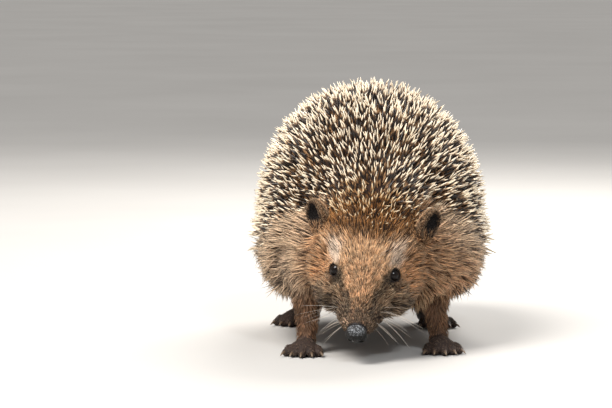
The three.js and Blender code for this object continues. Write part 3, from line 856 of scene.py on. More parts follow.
# ---------------------------------------------------------------- eyes and nose pad
def grid_ball(nu, nv):
    v = [(0, 0, 1.0)]
    for j in range(1, nv):
        for i in range(nu):
            th, ph = math.pi * j / nv, 2 * math.pi * i / nu
            v.append((math.sin(th) * math.cos(ph), math.sin(th) * math.sin(ph), math.cos(th)))
    v.append((0, 0, -1.0))
    f = []
    for i in range(nu):
        f.append((0, 1 + i, 1 + (i + 1) % nu))
        last = 1 + (nv - 2) * nu
        f.append((len(v) - 1, last + (i + 1) % nu, last + i))
    for j in range(nv - 2):
        for i in range(nu):
            a, b = 1 + j * nu + i, 1 + j * nu + (i + 1) % nu
            f += [(a, a + nu, b + nu), (a, b + nu, b)]
    return np.array(v), np.array(f)


eye_mat = eye_material()
for side_name, s in (("left", 1), ("right", -1)):
    v, f = grid_ball(48, 32)
    bulge = 1 + 0.055 * smooth(0.72, 1.0, v[:, 2])                # the cornea stands a little proud
    v = v * bulge[:, None] * EYE_R
    z = unit(dir_from_head((EYE_AXIS[0], s * EYE_AXIS[1], EYE_AXIS[2])))
    x = unit(np.cross(z, (0.1, 0.2, 1)))
    at = from_head((EYE_AT[0], s * EYE_AT[1], EYE_AT[2]))
    ob = make_mesh("eyeball_" + side_name, at + v @ np.stack([x, np.cross(z, x), z]), f, eye_mat)
    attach(ob, "root")
    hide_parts("eye_" + side_name)


def nose_pad(h):
    s = mirrored(h)
    a0, u0 = NOSE_AT[0], NOSE_AT[2]
    d = ellipsoid(h, NOSE_AT, (NOSE_R[0], NOSE_R[1] - 0.3, NOSE_R[2]))
    d = smin(d, ellipsoid(s, (a0 + 0.7, 2.9, u0 - 1.5), (2.9, 2.1, 2.5)), 0.9)          # wings of the nostrils
    # nostrils: a hole in front that trails back to the side as a slit
    hole = cone(s, (a0 + 4.2, 2.9, u0 - 1.9), (a0 + 1.4, 2.9, u0 - 1.5), 1.25, 0.8)
    slit = cone(s, (a0 + 3.0, 3.6, u0 - 2.2), (a0 + 0.9, 5.2, u0 - 2.6), 0.62, 0.4)
    d = smax(d, -smin(hole, slit, 0.6), 0.45)
    groove = np.maximum(np.abs(h[:, 1]) - 0.22, h[:, 2] - u0 - 0.2)                     # down the middle, below
    return smax(d, -np.maximum(groove, -d - 0.6), 0.35)


c = np.array(NOSE_AT)
nv, nq = surface(nose_pad, *[lines(c[i] - 6.6, c[i] + 6.6, 0.22, []) for i in range(3)], block=4)
nh = nv - c
# pale on the top of the pad: partly its greyer granular skin, partly a painted highlight where the top faces the
# lights; mottle breaks it into grains
top_grey_and_highlight = smooth(0.9, 4.1, nh[:, 2] - 0.25 * nh[:, 0] + 0.9 * wave(nv, 2.2, 73)) * smooth(5.2, 3.5, np.abs(nh[:, 1]))
mottle = smooth(-0.15, 0.55, 0.75 * wave(nv, 1.5, 71) + 0.6 * wave(nv, 0.75, 72))
nose = make_mesh("nose_pad", HEAD_AT + nv @ HEAD, nq, nose_material(), attrs=dict(pale=top_grey_and_highlight * (0.15 + 0.85 * mottle)))
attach(nose, "root")
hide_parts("nose")


# ---------------------------------------------------------------- tapering solid strands: claws, whiskers, fur, spines
def strands(paths, radii, ref, sides=3, flat=1.0):
    """Closed tapering tubes that end in a point. paths (N,R,3), radii (N,R) with the last one unused, ref (N,3) roughly square to them."""
    N, R = paths.shape[:2]
    t = np.empty_like(paths)
    t[:, 1:-1] = paths[:, 2:] - paths[:, :-2]
    t[:, 0], t[:, -1] = paths[:, 1] - paths[:, 0], paths[:, -1] - paths[:, -2]
    t = unit(t)
    w = unit(np.cross(t, ref[:, None, :]))
    b = np.cross(w, t)
    ang = np.arange(sides) * 2 * math.pi / sides + math.pi / 2
    ring = (w[:, :-1, None] * np.cos(ang)[:, None] + b[:, :-1, None] * (flat * np.sin(ang))[:, None]) * radii[:, :-1, None, None]
    v = (paths[:, :-1, None] + ring).reshape(N, (R - 1) * sides, 3)
    v = np.concatenate([v, paths[:, -1:]], 1)
    k = (R - 1) * sides + 1
    f = []
    for j in range(R - 2):
        for i in range(sides):
            a, c_ = j * sides + i, j * sides + (i + 1) % sides
            f += [(a, c_, c_ + sides), (a, c_ + sides, a + sides)]
    for i in range(sides):
        f.append(((R - 2) * sides + i, (R - 2) * sides + (i + 1) % sides, k - 1))
    for i in range(1, sides - 1):
        f.append((0, i + 1, i))
    f = np.array(f)
    faces = (f[None] + (np.arange(N) * k)[:, None, None]).reshape(-1, 3)
    seg = np.concatenate([np.zeros((N, 1)), np.cumsum(length(np.diff(paths, axis=1)), 1)], 1)
    seg /= seg[:, -1:]
    along = np.concatenate([np.repeat(seg[:, :-1], sides, 1), seg[:, -1:]], 1).reshape(-1)
    across = np.concatenate([np.tile(np.cos(ang), (N, R - 1)), np.zeros((N, 1))], 1).reshape(-1)
    return v.reshape(-1, 3), faces, along, across, k


def claws():
    paths, radii = [], []
    for spec in FEET.values():
        _, toes, _, _ = foot_points(spec)
        for t in toes:
            b, kn, tip = t["b"], t["knuckle"], t["tip"]
            start = b + (b - kn) * 0.9
            u = np.linspace(0, 1, 9)[:, None]
            path = (1 - u) ** 2 * start + 2 * u * (1 - u) * (kn + np.array([0, 0, 1.1])) + u ** 2 * tip
            path[:, 2] = np.maximum(path[:, 2], 0.55)
            paths.append(path)
            radii.append(np.array([0.7, 0.92, 0.98, 0.94, 0.84, 0.7, 0.55, 0.38, 0.0]))
    return np.array(paths), np.array(radii)


cp, cr = claws()
cv, cf, ca, _, _ = strands(cp, cr, np.tile([0, 0, 1.0], (len(cp), 1)), sides=10, flat=0.95)
claw = make_mesh("claws", cv, cf, claw_material(), attrs=dict(along=ca))
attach(claw, "root")


# ---------------------------------------------------------------- coat: places, flow, growth
TRI = np.concatenate([quads[:, [0, 1, 2]], quads[:, [0, 2, 3]]])
TA, TB, TC = P[TRI[:, 0]], P[TRI[:, 1]], P[TRI[:, 2]]
AREA = length(np.cross(TB - TA, TC - TA)) / 2
CENTRE = (TA + TB + TC) / 3


def scatter(count, density, seed):
    rng = np.random.default_rng(seed)
    w = AREA * density
    pick = rng.choice(len(w), count, p=w / w.sum())
    r1, r2 = np.sqrt(rng.random(count)), rng.random(count)
    return (TA[pick] * (1 - r1)[:, None] + TB[pick] * (r1 * (1 - r2))[:, None] + TC[pick] * (r1 * r2)[:, None]), rng


def thinned(pts, radius):
    """Keeps points in order, dropping any that lies within radius of one kept before. radius may vary by point."""
    radius = np.broadcast_to(radius, len(pts))
    cell = float(radius.max())
    keys = np.floor(pts / cell).astype(int)
    held, keep = {}, []
    for i in range(len(pts)):
        kx, ky, kz = keys[i]
        ok = True
        for dx in (-1, 0, 1):
            for dy in (-1, 0, 1):
                for dz in (-1, 0, 1):
                    for j in held.get((kx + dx, ky + dy, kz + dz), ()):
                        q = pts[i] - pts[j]
                        if q @ q < radius[i] ** 2:
                            ok = False
                            break
                    if not ok:
                        break
                if not ok:
                    break
            if not ok:
                break
        if ok:
            held.setdefault((kx, ky, kz), []).append(i)
            keep.append(i)
    return np.array(keep)


def skin_coarse(p):
    return skin(p.astype(F), fine=False)


def normals_at(p):
    return unit(gradient(skin_coarse, p.astype(F), 0.5).astype(float))


def flow_at(p, n, reg):
    """Unit direction along the skin in which the coat lies."""
    h, is_ = reg["h"], reg["is_"]
    q = p - np.array([BODY_X, 0, 0])
    # body: backwards, and down the flanks
    side = smooth(95, 35, p[:, 2]) * smooth(12, 40, np.abs(q[:, 0]))
    d = np.stack([np.zeros(len(p)), np.ones(len(p)), -0.42 * side * smooth(40, 100, p[:, 1]) - 0.35 * smooth(46, 34, p[:, 2]) - 1.3 * smooth(0.25, 0.9, n[:, 1])], 1)
    # front of the shoulders: out from the head
    around = p - from_head((-18, 0, -4))
    around[:, 1] *= 0.0
    around = unit(around)
    d = d + around * (1.1 * smooth(78, 24, p[:, 1]) * (1 - is_["head"]))[:, None]
    # head: from nose to nape, and out over the cheeks
    s = np.sign(h[:, 1])
    cheek = smooth(6, 15, np.abs(h[:, 1])) * smooth(4, -6, h[:, 2])
    hd = np.stack([-1.0 + 0.35 * cheek, s * (0.10 * smooth(0, 4, np.abs(h[:, 1])) + 1.15 * cheek), 0.05 - 0.45 * cheek], 1)
    low = smooth(-6, -15, h[:, 2])
    hd += np.stack([0.45 * low, 0.15 * s * low, -0.55 * low], 1)
    crown = smooth(4, -12, h[:, 0]) * smooth(24, 8, np.abs(h[:, 1])) * smooth(-4, 4, h[:, 2])
    hd[:, 1] += 0.045 * np.sign(h[:, 1]) * np.maximum(np.abs(h[:, 1]) - 5, 0) * crown
    e = mirrored(h) - np.array(EYE_AT)
    e[:, 1] *= np.where(h[:, 1] < 0, -1, 1)
    e = e * np.array([1, 1, 1.0])
    hd = unit(hd) + unit(e) * (1.5 * smooth(9.0, 4.6, reg["eye"]))[:, None]
    m = np.maximum(is_["head"], smooth(8, 0, reg["d"][:, 0]))
    d = mix(d, dir_from_head(hd), m[:, None])
    leg = is_["leg"] * smooth(46, 34, p[:, 2])
    d = mix(d, np.array([0, 0.25, -1.0]), leg[:, None])
    for spec in FEET.values():
        _, _, fwd, _ = foot_points(spec)
        c = np.array([spec["heel"][0], spec["heel"][1]]) + fwd[:2] * 8
        near = is_["foot"] & (np.hypot(p[:, 0] - c[0], p[:, 1] - c[1]) < 30)
        d = np.where(near[:, None], fwd + np.array([0, 0, -0.4]), d)
    for s_ in (1, -1):
        mid, ed, ea, ef = EARS[s_]
        near = is_["ear"] & (np.sign(h[:, 1]) == s_)
        out = unit(p - mid)
        d = np.where(near[:, None], ed * 1.0 + out * 0.5, d)
    tail = unit(np.array(TAIL["b"], float) - np.array(TAIL["a"], float))
    d = np.where(is_["tail"][:, None], tail, d)
    d = d - n * (d * n).sum(1, keepdims=True)
    return unit(d)


def grow(p, n, t, L, lift0, lift1, rings, follow=True):
    """Paths of strands: they leave the skin at lift0 and end at lift1, in radians over the skin, and keep to its curve."""
    pts = [p - n * 0.35]
    cur, nn, tt = pts[0].copy(), n, t
    step = (L / (rings - 1))[:, None]
    for k in range(rings - 1):
        x = k / max(rings - 2, 1)
        a = mix(lift0, lift1, x)[:, None]
        cur = cur + (tt * np.cos(a) + nn * np.sin(a)) * step
        pts.append(cur.copy())
        if follow and k < rings - 2:
            nn = normals_at(cur)
            tt = unit(tt - nn * (tt * nn).sum(1, keepdims=True))
    return np.stack(pts, 1)


# ---------------------------------------------------------------- unwrap of the skin's own shape, for the bake
SHEET = 600.0
BOXES = dict(zip("top belly left right".split(), [(0, 0), (140, 0), (280, 0), (420, 0)]))
BOXES.update(dict(rump=(0, 230), front=(140, 230), head_top=(280, 230), head_under=(420, 230)))
BOXES.update(dict(head_left=(0, 372), head_right=(140, 372), head_front=(280, 372), ear_a=(402, 372), ear_b=(442, 372), ear_c=(482, 372), ear_d=(522, 372)))


def unwrap_at(p, n, reg):
    """Place of each root on a flat layout of the skin: each part by the side that it faces."""
    out = np.zeros((len(p), 2))
    h, is_ = reg["h"], reg["is_"]
    nh = n @ HEAD.T
    ax = np.argmax(np.abs(n), 1)
    x, y, z = p[:, 0] + 66, p[:, 1] + 26, p[:, 2]

    def put_in(mask, box, u, v):
        out[mask] = np.stack([BOXES[box][0] + u[mask], BOXES[box][1] + v[mask]], 1)

    body_ = ~(is_["head"] | is_["ear"] | is_["leg"] | is_["foot"])
    put_in(body_ & (ax == 2) & (n[:, 2] > 0), "top", x, y)
    put_in(body_ & (ax == 2) & (n[:, 2] <= 0), "belly", x, y)
    put_in(body_ & (ax == 0) & (n[:, 0] > 0), "left", z, y)
    put_in(body_ & (ax == 0) & (n[:, 0] <= 0), "right", z, y)
    put_in(body_ & (ax == 1) & (n[:, 1] > 0), "rump", x, z)
    put_in(body_ & (ax == 1) & (n[:, 1] <= 0), "front", x, z)
    a, l, u = (h[:, 0] + 50) * 1.5, (h[:, 1] + 40) * 1.5, (h[:, 2] + 35) * 1.5
    hx = np.argmax(np.abs(nh) * np.array([0.8, 1, 1]), 1)
    hd = is_["head"]
    put_in(hd & (hx == 2) & (nh[:, 2] > 0), "head_top", a, l)
    put_in(hd & (hx == 2) & (nh[:, 2] <= 0), "head_under", a, l)
    put_in(hd & (hx == 1) & (nh[:, 1] > 0), "head_left", a, u)
    put_in(hd & (hx == 1) & (nh[:, 1] <= 0), "head_right", a, u)
    put_in(hd & (hx == 0), "head_front", l, u)
    for i, s_ in enumerate((1, -1)):
        mid, ed, ea, ef = EARS[s_]
        q = (p - mid) @ np.stack([ed, ea, ef]).T
        m = is_["ear"] & (np.sign(h[:, 1]) == s_)
        f_ = n @ ef > 0
        for m2, b_ in ((m & f_, ("ear_a", "ear_c")[i]), (m & ~f_, ("ear_b", "ear_d")[i])):
            put_in(m2, b_, (q[:, 0] + 12) * 1.5, (q[:, 1] + 12) * 1.5)
    for i, (leg, spec) in enumerate(zip(LEGS.values(), FEET.values())):
        c = np.array(leg["path"][1])
        m = is_["leg"] & (np.hypot(p[:, 0] - c[0], p[:, 1] - c[1]) < 40) & ((p[:, 0] > 0) == (c[0] > 0)) & (np.abs(p[:, 1] - c[1]) < 40)
        ang = np.arctan2(p[:, 0] - c[0], p[:, 1] - c[1]) / (2 * math.pi) + 0.5
        out[m] = np.stack([i * 60 + ang[m] * 54, 482 + np.clip(p[m, 2], 0, 56)], 1)
        c = np.array([spec["heel"][0], spec["heel"][1]])
        m = is_["foot"] & (np.hypot(p[:, 0] - c[0], p[:, 1] - c[1]) < 45)
        out[m] = np.stack([250 + i * 66 + np.clip((p[m, 0] - c[0]) * 1.1 + 30, 0, 60), 482 + np.clip((p[m, 1] - c[1]) * 1.1 + 48, 0, 100)], 1)
    return out / SHEET


PATCH = 0.003


def coat_piece(name, paths, radii, ref, sides, flat, root_uv, material, per_strand, shade=None, limit=190000):
    """One or more joined meshes of strands, each under the limit, strands dealt out in turn so each piece spans the whole animal."""
    N, R = paths.shape[:2]
    per = 2 * sides * (R - 2) + sides + (sides - 2)
    parts = max(1, math.ceil(N * per / limit))
    made = []
    for i in range(parts):
        sel = np.arange(i, N, parts)
        v, f, along, across, k = strands(paths[sel], radii[sel], ref[sel], sides, flat)
        rep = lambda x: np.repeat(x[sel], k, axis=0)
        uv = rep(root_uv) + np.stack([across * PATCH * 0.5, (along - 0.5) * PATCH], 1)
        attrs = {key: rep(val) for key, val in per_strand.items()}
        attrs["along"] = along
        if shade is not None:
            attrs = shade(attrs, along)
        ob = make_mesh(name + ("" if parts == 1 else "_%d" % (i + 1)), v, f, material, attrs=attrs, uv=uv)
        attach(ob, "root")
        made.append(ob)
        print(ob.name, len(sel), "strands", len(f), "triangles")
    return made


def fur_shade(attrs, along):
    """Colour of each hair: a dark root, partly the hair's own darker base and partly painted shade deep in the coat,
    full colour, then towards its own tip colour.
    """
    base, tip = attrs.pop("mark"), attrs.pop("tip")
    root = attrs.pop("root")
    x = along[:, None]
    # dark root: painted shade between the hairs, on top of the hair's own darker base
    col = mix(base * root[:, None], base, smooth(0.0, 0.45, x))
    col = mix(col, tip, smooth(0.45, 1.0, x) * 0.85)
    attrs["mark"] = np.clip(col, 0, 1)
    return attrs


def clumps(pts, paths, gap, strength, rng):
    """Gathers strands into tufts: each bends, more towards its end, to the path of the nearest leader. Gives each strand's tuft too."""
    leaders = thinned(pts, gap)
    tree = KDTree(len(leaders))
    for i, k in enumerate(leaders):
        tree.insert(pts[k], i)
    tree.balance()
    mine = np.array([tree.find(q)[1] for q in pts])
    pull = np.clip(strength + 0.2 * rng.normal(size=len(leaders)), 0.0, 0.9)[mine]
    u = np.linspace(0, 1, paths.shape[1]) ** 1.3
    off = paths[leaders[mine]] - paths
    return paths + off * (u[None, :, None] * pull[:, None, None]), mine, len(leaders)


def dab(p, rng, amount, seed, scale=7):
    """Uneven brightness: by lock of hair, and by hair."""
    return np.exp(amount * (0.5 * wave(p, scale, seed) + 0.75 * rng.normal(size=len(p))))


# spines ------------------------------------------------------------------------------------------------------------
MANTLE = region(CENTRE)["mantle"]
pts, rng = scatter(50000, MANTLE ** 1.2 + 1e-9, 11)
hq = to_head(pts)
brow_d = np.hypot(hq[:, 0] + 20, hq[:, 2] - 13)
front = np.maximum(smooth(26, 3, brow_d), 0.42 * smooth(62, 20, brow_d))      # smaller and closer at the brow
keep = thinned(pts, mix(1.95, 1.25, front))
pts, front = pts[keep], front[keep]
reg = region(pts)
m = reg["mantle"] > 0.25 + 0.5 * rng.random(len(pts))
pts, front, reg = pts[m], front[m], region(pts[m])
n = normals_at(pts)
t = flow_at(pts, n, reg)
N = len(pts)
b = np.cross(n, t)
EAR_MOUTH = np.zeros(N, bool)
L = mix(17.6, 9.4, front) * rng.uniform(0.78, 1.10, N) * (1 + 0.06 * wave(pts, 9, 14))
L = L * mix(1.0, 0.74, smooth(-24, -14, reg["h"][:, 0]) * smooth(0.3, 0.8, front))
lean = mix(37, 44, front) + rng.normal(0, 1, N) * mix(11, 13, front) + 7 * wave(pts, 11, 12)
edge_down = smooth(10, 0, pts[:, 2] - np.interp(pts[:, 1], MANTLE_EDGE[:, 0], MANTLE_EDGE[:, 1]))
lean = lean + 10 * edge_down + 11 * smooth(0.35, 0.9, n[:, 1])       # flatter on the rump
lean = np.clip(lean, 12, 72) * DEG
lean = np.maximum(lean, np.arccos(np.clip((QUILL_DEPTH + 1.2) / L, 0, 1)))
turn = (rng.normal(0, 1, N) * mix(27, 34, front) + 16 * wave(pts, 10, 13)) * DEG
d = n * np.cos(lean)[:, None] + (t * np.cos(turn)[:, None] + b * np.sin(turn)[:, None]) * np.sin(lean)[:, None]
marks = np.array([0.0, 0.10, 0.5, 0.80, 0.92, 1.0])
bend = rng.normal(0, 0.5, (N, 1)) * b + rng.normal(0, 0.4, (N, 1)) * n
for s_ in (1, -1):                                                  # none across an ear's opening
    mid, ed, ea, ef = EARS[s_]
    q = (pts + d * L[:, None] - mid) @ np.stack([ed, ea, ef]).T
    EAR_MOUTH |= (np.abs(q[:, 0]) < 10.5) & (np.abs(q[:, 1]) < 7.5) & (q[:, 2] > -2.0) & (q[:, 2] < 12)
paths = (pts - n * 1.2)[:, None] + d[:, None] * (marks[None, :, None] * L[:, None, None]) + bend[:, None] * (marks * (1 - marks) * 1.6)[None, :, None]
thick = mix(0.54, 0.31, front)[:, None] * rng.uniform(0.88, 1.1, (N, 1))
radii = thick * np.array([0.55, 0.9, 1.0, 0.86, 0.52, 0.0])
warm = np.clip(smooth(0.42, 0.85, front) * 0.95 + 0.12 * rng.random(N) + 0.25 * (wave(pts, 25, 3) > 0.55) * (pts[:, 1] < 70), 0, 1)
warm = warm * rng.uniform(0.55, 1.0, N)
g = ~EAR_MOUTH
spines = coat_piece("spines", paths[g], radii[g], (n + 0.01 * rng.normal(size=(N, 3)))[g], 5, 1.0, unwrap_at(pts, n, reg)[g], spine_material(),
                    dict(shift=rng.normal(0, 0.035, N)[g], warm=warm[g], tone=rng.random(N)[g]))


# fur ---------------------------------------------------------------------------------------------------------------
CREAM = rgb(0.93, 0.81, 0.66)
BLACKISH = rgb(0.09, 0.065, 0.055)


def fur(name, pts, reg, rng, L, lift, width, rings, material, pale=0.35, pale_share=0.3, dark_share=0.14, root=0.32,
        spread=12, rough_lift=6, tint=None, amount=0.22, locks=0.3, flat=0.75, n=None, t=None, col=None, tip_col=CREAM, tuft=0.0, pull=0.5):
    """Solid tapering tufts on the skin. lift in degrees over the skin at the root and at the end; width is the half width in mm."""
    N = len(pts)
    n = normals_at(pts) if n is None else n
    t = flow_at(pts, n, reg) if t is None else t
    # the hair lies in loose locks: neighbours turn together, then each a little by itself
    lock = 0.55 * spread * wave(pts, 6.0, 21) + 0.45 * spread * wave(pts, 2.4, 22)
    turn = (lock + rng.normal(0, spread * 0.75, N)) * DEG
    b = np.cross(n, t)
    t = unit(t * np.cos(turn)[:, None] + b * np.sin(turn)[:, None])
    r = rng.normal(0, rough_lift, N)
    l0, l1 = (np.clip(x + r, 3, 80) * DEG for x in np.broadcast_arrays(np.asarray(lift[0], float) + np.zeros(N), np.asarray(lift[1], float) + np.zeros(N)))
    L = L * rng.uniform(0.78, 1.15, N)
    paths = grow(pts, n, t, L, l0, l1, rings)
    u = np.linspace(0, 1, rings)
    side = rng.normal(0, 0.05, (N, 1)) * L[:, None] * b
    paths = paths + side[:, None] * (u ** 2)[None, :, None]
    tone = np.zeros(N)
    if tuft:
        paths, mine, count = clumps(pts, paths, tuft, pull, rng)
        tone = rng.normal(0, 1, count)[mine]
    shape = np.interp(u, [0, 0.3, 0.65, 1.0], [0.75, 1.0, 0.72, 0.0])
    radii = (width * rng.uniform(0.75, 1.25, N))[:, None] * shape
    base = (reg["col"] if col is None else col) * dab(pts, rng, amount, 31)[:, None]
    q = to_head(pts)
    q = q - t @ HEAD.T * (0.7 * (q * (t @ HEAD.T)).sum(1, keepdims=True))
    base = base * np.exp(locks * (wave(q, 3.0, 33) + 0.5 * wave(q, 1.5, 34) + 0.45 * tone))[:, None]          # locks, long in the direction of the hair
    base = base * np.minimum(1, 0.86 / base.max(1))[:, None]
    pale = np.broadcast_to(np.asarray(pale, float), N)[:, None]
    kind = rng.random(N)
    tip = mix(base, tip_col, pale)
    tip = np.where((kind < pale_share)[:, None], mix(base, tip_col, np.minimum(pale * 2.1, 0.85)), tip)
    dark = (kind > 1 - dark_share)[:, None]                       # both shares may vary from place to place
    base = np.where(dark, mix(base, BLACKISH, 0.80), base)
    tip = np.where(dark, mix(base, BLACKISH, 0.3), tip)
    if tint is not None:
        tip = mix(tip, base, np.asarray(tint)[:, None])
    made = coat_piece(name, paths, radii, n + 0.25 * rng.normal(size=(N, 3)), 3, flat, unwrap_at(pts, n, reg), material,
                      dict(mark=base, tip=tip, root=np.full(N, root) * rng.uniform(0.8, 1.25, N)), shade=fur_shade)
    return made


R0 = region(CENTRE)
hc = R0["h"]
la, ll, lu = hc[:, 0], np.abs(hc[:, 1]), hc[:, 2]
NOT_SPINE = 1 - smooth(0.35, 0.75, R0["mantle"]) * (1 - 0.34 * smooth(-36, -24, la))
EYE_OPEN = smooth(3.9, 4.4, length(mirrored(hc) - np.array(EYE_AT)))
NOSE_CLEAR = smooth(4.9, 5.4, length((hc - np.array(NOSE_AT)) / np.array([0.9, 1.08, 1.0])))
coat_mat = {k: hair_material("hedgehog_" + k) for k in ("face_fur", "ruff_fur", "leg_fur", "ear_fur")}

# face
ORANGE = rgb(0.79, 0.56, 0.32)
dens = R0["is_"]["head"] * NOT_SPINE * EYE_OPEN * NOSE_CLEAR * mix(1.0, 2.4, smooth(-10, 12, la)) * (1 + 0.8 * smooth(28, 36, la))
dens = dens * (1 + 2.6 * smooth(8.5, 5, length(mirrored(hc) - np.array(EYE_AT))))
all_pts, rng = scatter(43500, dens, 41)


def face_length(pts, reg):
    h = reg["h"]
    a, l, u = h[:, 0], np.abs(h[:, 1]), h[:, 2]
    L = np.interp(a, [-30, -20, -12, -4, 4, 12, 19, 30, 38], [10.5, 10.0, 8.8, 6.2, 4.3, 3.4, 2.9, 2.2, 1.3])
    lower = smooth(50, 80, reg["phi"])
    cheek = lower * smooth(16, 4, a) * smooth(8, 15, l)
    side = lower * smooth(30, 20, a) * smooth(2, 10, a)              # sides of the muzzle and chin
    L = mix(L, np.interp(a, [2, 12, 21, 28, 33], [9.0, 8.5, 7.2, 4.5, 2.0]), side)
    L = mix(L, 11.5, cheek)
    back = smooth(9, 15, l) * smooth(-2, -12, a) * smooth(15, 6, u)  # it runs on over the neck
    L = mix(L, 13.0, back)
    eye_d = length(mirrored(h) - np.array(EYE_AT))
    L = L * (1 - 0.25 * smooth(0.3, 0.8, reg["mantle"]))                # shorter between the spines of the brow
    return np.minimum(L, mix(1.9, 9.5, smooth(4.2, 12, eye_d))), cheek, side, back, eye_d


def face(name, pts, rng, rings, tuft, pull):
    reg = region(pts)
    h = reg["h"]
    a, l, u = h[:, 0], np.abs(h[:, 1]), h[:, 2]
    L, cheek, side, back, eye_d = face_length(pts, reg)
    lift0 = mix(30.0, 44.0, np.maximum(side, cheek))
    lift1 = mix(14.0, 30.0, np.maximum(side, cheek)) + 8 * smooth(-8, -20, a)
    lift0, lift1 = mix(lift0, 36, back), mix(lift1, 26, back)
    lift0 = mix(lift0, 40, smooth(6.5, 4.4, eye_d))
    width = np.interp(L, [1.3, 4, 11], [0.115, 0.18, 0.27])
    dark_zone = smooth(0.10, 0.03, reg["col"].mean(1))
    brow = smooth(-2.5, -10.5, a + 0.45 * np.maximum(l - 5, 0) + 1.5 * wave(pts, 6, 65)) * smooth(0, 8, u)
    snout = smooth(12, 22, a)
    fur(name, pts, reg, rng, L, (lift0, lift1), width, rings, coat_mat["face_fur"], pale=mix(mix(0.38, 0.33, snout), 0.36, brow),
        pale_share=mix(0.36, 0.32, brow), dark_share=mix(0.20, 0.52, brow) + 0.24 * np.maximum(side, snout), root=0.16, spread=17, rough_lift=9,
        amount=0.44 + 0.14 * np.maximum(snout, side), locks=0.50 + 0.28 * np.maximum(snout, side), tint=0.1 * dark_zone, tip_col=mix(CREAM, ORANGE, brow[:, None]), tuft=tuft, pull=pull)


is_short = face_length(all_pts, region(all_pts))[0] < 4.9
print("short hairs of the face", int(is_short.sum()))
face("face_fur", all_pts[~is_short], rng, 4, 2.0, 0.32)
face("face_fur_short", all_pts[is_short], rng, 3, 1.1, 0.25)

# neck, shoulders, flanks, belly
body_ = ~(R0["is_"]["head"] | R0["is_"]["ear"] | R0["is_"]["leg"] | R0["is_"]["foot"] | R0["is_"]["tail"])
back_half = smooth(60, 120, CENTRE[:, 1])
below = smooth(34, 22, CENTRE[:, 2])
dens = body_ * (1 - smooth(0.55, 0.95, R0["mantle"])) * mix(1.0, 0.62, back_half) * mix(1.0, 0.75, below)
pts, rng = scatter(27500, dens, 42)
reg = region(pts)
low = smooth(36, 24, pts[:, 2])
near = smooth(34, 12, reg["d"][:, 0])
L = mix(17.0, 8.5, low)
L = mix(L, 13.5, near * (1 - low))
L = L * mix(1.0, 0.85, smooth(0.3, 0.8, reg["mantle"]))
lift0, lift1 = mix(32.0, 20.0, low), mix(18.0, 10.0, low)
lift0, lift1 = mix(lift0, 46.0, near * (1 - low)), mix(lift1, 30.0, near * (1 - low))
width = np.interp(L, [8, 17], [0.255, 0.36])
fur("ruff_fur", pts, reg, rng, L, (lift0, lift1), width, 4, coat_mat["ruff_fur"], pale=0.54, pale_share=0.42, dark_share=0.25,
    root=0.16, spread=20, rough_lift=10, amount=0.46, locks=0.52, tuft=2.6, pull=0.36)

# legs, feet, tail
dens = (R0["is_"]["leg"] | R0["is_"]["foot"] | R0["is_"]["tail"]) * 1.0
dens = dens * np.where(R0["is_"]["foot"], smooth(1.8, 3.4, CENTRE[:, 2]) * 2.0, 1.0)
nn = normals_at(CENTRE)
dens = dens * np.where(R0["is_"]["foot"], smooth(-0.3, 0.25, nn[:, 2]), 1.0)
pts, rng = scatter(13000, dens, 43)
reg = region(pts)
L = np.where(reg["is_"]["leg"], np.interp(pts[:, 2], [8, 24, 44], [3.2, 6.0, 9.0]), 2.0)
L = np.where(reg["is_"]["tail"], 3.0, L)
width = np.interp(L, [2, 4, 8], [0.11, 0.15, 0.21])
fur("leg_fur", pts, reg, rng, L, (24.0, 12.0), width, 3, coat_mat["leg_fur"], pale=0.24, pale_share=0.28, dark_share=0.2, root=0.3, spread=14, amount=0.36, tuft=1.6, pull=0.4)

# ears
dens = R0["is_"]["ear"] * 1.0
pts, rng = scatter(6500, dens, 44)
reg = region(pts)
n = normals_at(pts)
t = flow_at(pts, n, reg)
edge = np.zeros(len(pts))
inner = np.zeros(len(pts))
for s_ in (1, -1):
    mid, ed, ea, ef = EARS[s_]
    m = np.sign(reg["h"][:, 1]) == s_
    q = (pts - mid) @ np.stack([ed, ea, ef]).T
    rr = np.sqrt((q[:, 0] / 9.0) ** 2 + (q[:, 1] / 6.3) ** 2)
    edge[m] = smooth(0.66, 0.92, rr)[m]
    inner[m] = (smooth(-0.2, 0.4, n @ ef) * (1 - smooth(0.66, 0.9, rr)))[m]
outside = (1 - inner) * (1 - edge)
foot_of_ear = np.zeros(len(pts))
for s_ in (1, -1):
    mid, ed, ea, ef = EARS[s_]
    m = np.sign(reg["h"][:, 1]) == s_
    foot_of_ear[m] = smooth(-1.5, -6.0, (pts - mid) @ ed)[m]
foot_of_ear = foot_of_ear * (rng.random(len(pts)) < 0.22)
L = np.where(inner > 0.3, mix(1.8, 4.2, foot_of_ear), mix(4.6, 1.8, edge))
ear_col = put(reg["col"], mix(TAN, CHEEK, 0.5) * 0.85, 0.7 * outside)
ear_col = put(ear_col, mix(TAN, CHEEK, 0.6) * 0.8, 0.9 * foot_of_ear * (inner > 0.3))
# hairs inside the cup keep the inner colour, painted shade included, without pale tips
fur("ear_fur", pts, reg, rng, L, (mix(26.0, 36.0, edge), mix(10.0, 24.0, edge)), mix(0.24, 0.17, np.maximum(edge, inner)), 3, coat_mat["ear_fur"],
    pale=0.32, pale_share=0.32, dark_share=0.2, root=0.2, spread=18, amount=0.4, locks=0.4, n=n, t=t, tint=inner * (1 - foot_of_ear), col=ear_col)

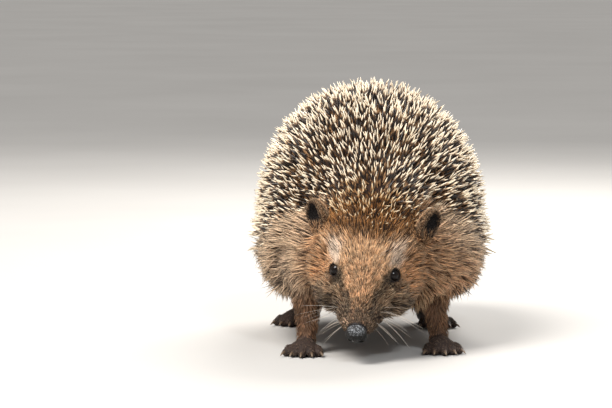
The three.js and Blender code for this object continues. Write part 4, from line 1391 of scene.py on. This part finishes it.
# whiskers: in rows on the muzzle's sides, a few over the eyes and on the chin
rng = np.random.default_rng(51)
roots, dirs, lens = [], [], []
for s_ in (1, -1):
    for i in range(5):
        for j in range(5):
            aa = 29.0 - 2.5 * j + rng.normal(0, 0.35)
            uu = -2.2 - 1.35 * i + rng.normal(0, 0.25)
            if rng.random() < 0.45:
                continue
            roots.append((aa, s_ * 14.0, uu))
            dirs.append((0.42 - 0.12 * j + rng.normal(0, 0.12), s_ * (1.0 + rng.normal(0, 0.08)), 0.10 - 0.28 * i + rng.normal(0, 0.12)))
            lens.append((13 + 2.4 * j) * rng.uniform(0.75, 1.15))
    for aa, uu, dd in ((-1.5, 8.5, (0.1, 0.5, 1.0)), (-3.0, 8.0, (-0.1, 0.7, 1.0)), (0.5, 8.0, (0.25, 0.4, 1.0))):
        roots.append((aa, s_ * 9.5, uu + 9))
        dirs.append((dd[0], s_ * dd[1], dd[2]))
        lens.append(11 * rng.uniform(0.85, 1.1))
    for aa in (14.0, 20.0):
        roots.append((aa, s_ * 2.2, -22.0))
        dirs.append((0.1, s_ * 0.35, -1.0))
        lens.append(10 * rng.uniform(0.85, 1.1))
roots, dirs, lens = np.array(roots), unit(np.array(dirs)), np.array(lens)
p = from_head(roots)
centre = from_head(np.stack([roots[:, 0], 0 * roots[:, 1], np.full(len(roots), -4.5)], 1))
for _ in range(60):                                                 # walk in to the skin
    dd = skin_coarse(p)
    p = p + unit(centre - p) * (np.clip(dd, 0, 2) * 0.6)[:, None]
n = normals_at(p)
w = unit(dir_from_head(dirs) + 0.35 * n)
droop = np.array([0, 0, -1.0])
uu = np.linspace(0, 1, 10)
paths = (p - n * 0.4)[:, None] + w[:, None] * (uu[None, :, None] * lens[:, None, None]) + droop * ((uu ** 2)[None, :, None] * (lens * rng.uniform(0.05, 0.32, len(lens)))[:, None, None])
radii = 0.105 * np.interp(uu, [0, 0.2, 1], [1, 0.85, 0.12])[None] * rng.uniform(0.8, 1.2, (len(p), 1))
reg = region(p)
wm = hair_material("hedgehog_whisker", 0.35)
tone = rng.random(len(p))[:, None]
for ob in coat_piece("whiskers", paths, radii, n + 0.01, 5, 1.0, unwrap_at(p, n, reg), wm,
                     dict(mark=mix(rgb(0.62, 0.56, 0.5), rgb(0.86, 0.82, 0.77), tone), tip=mix(rgb(0.75, 0.7, 0.64), rgb(0.95, 0.93, 0.9), tone), root=np.full(len(p), 0.6)), shade=fur_shade):
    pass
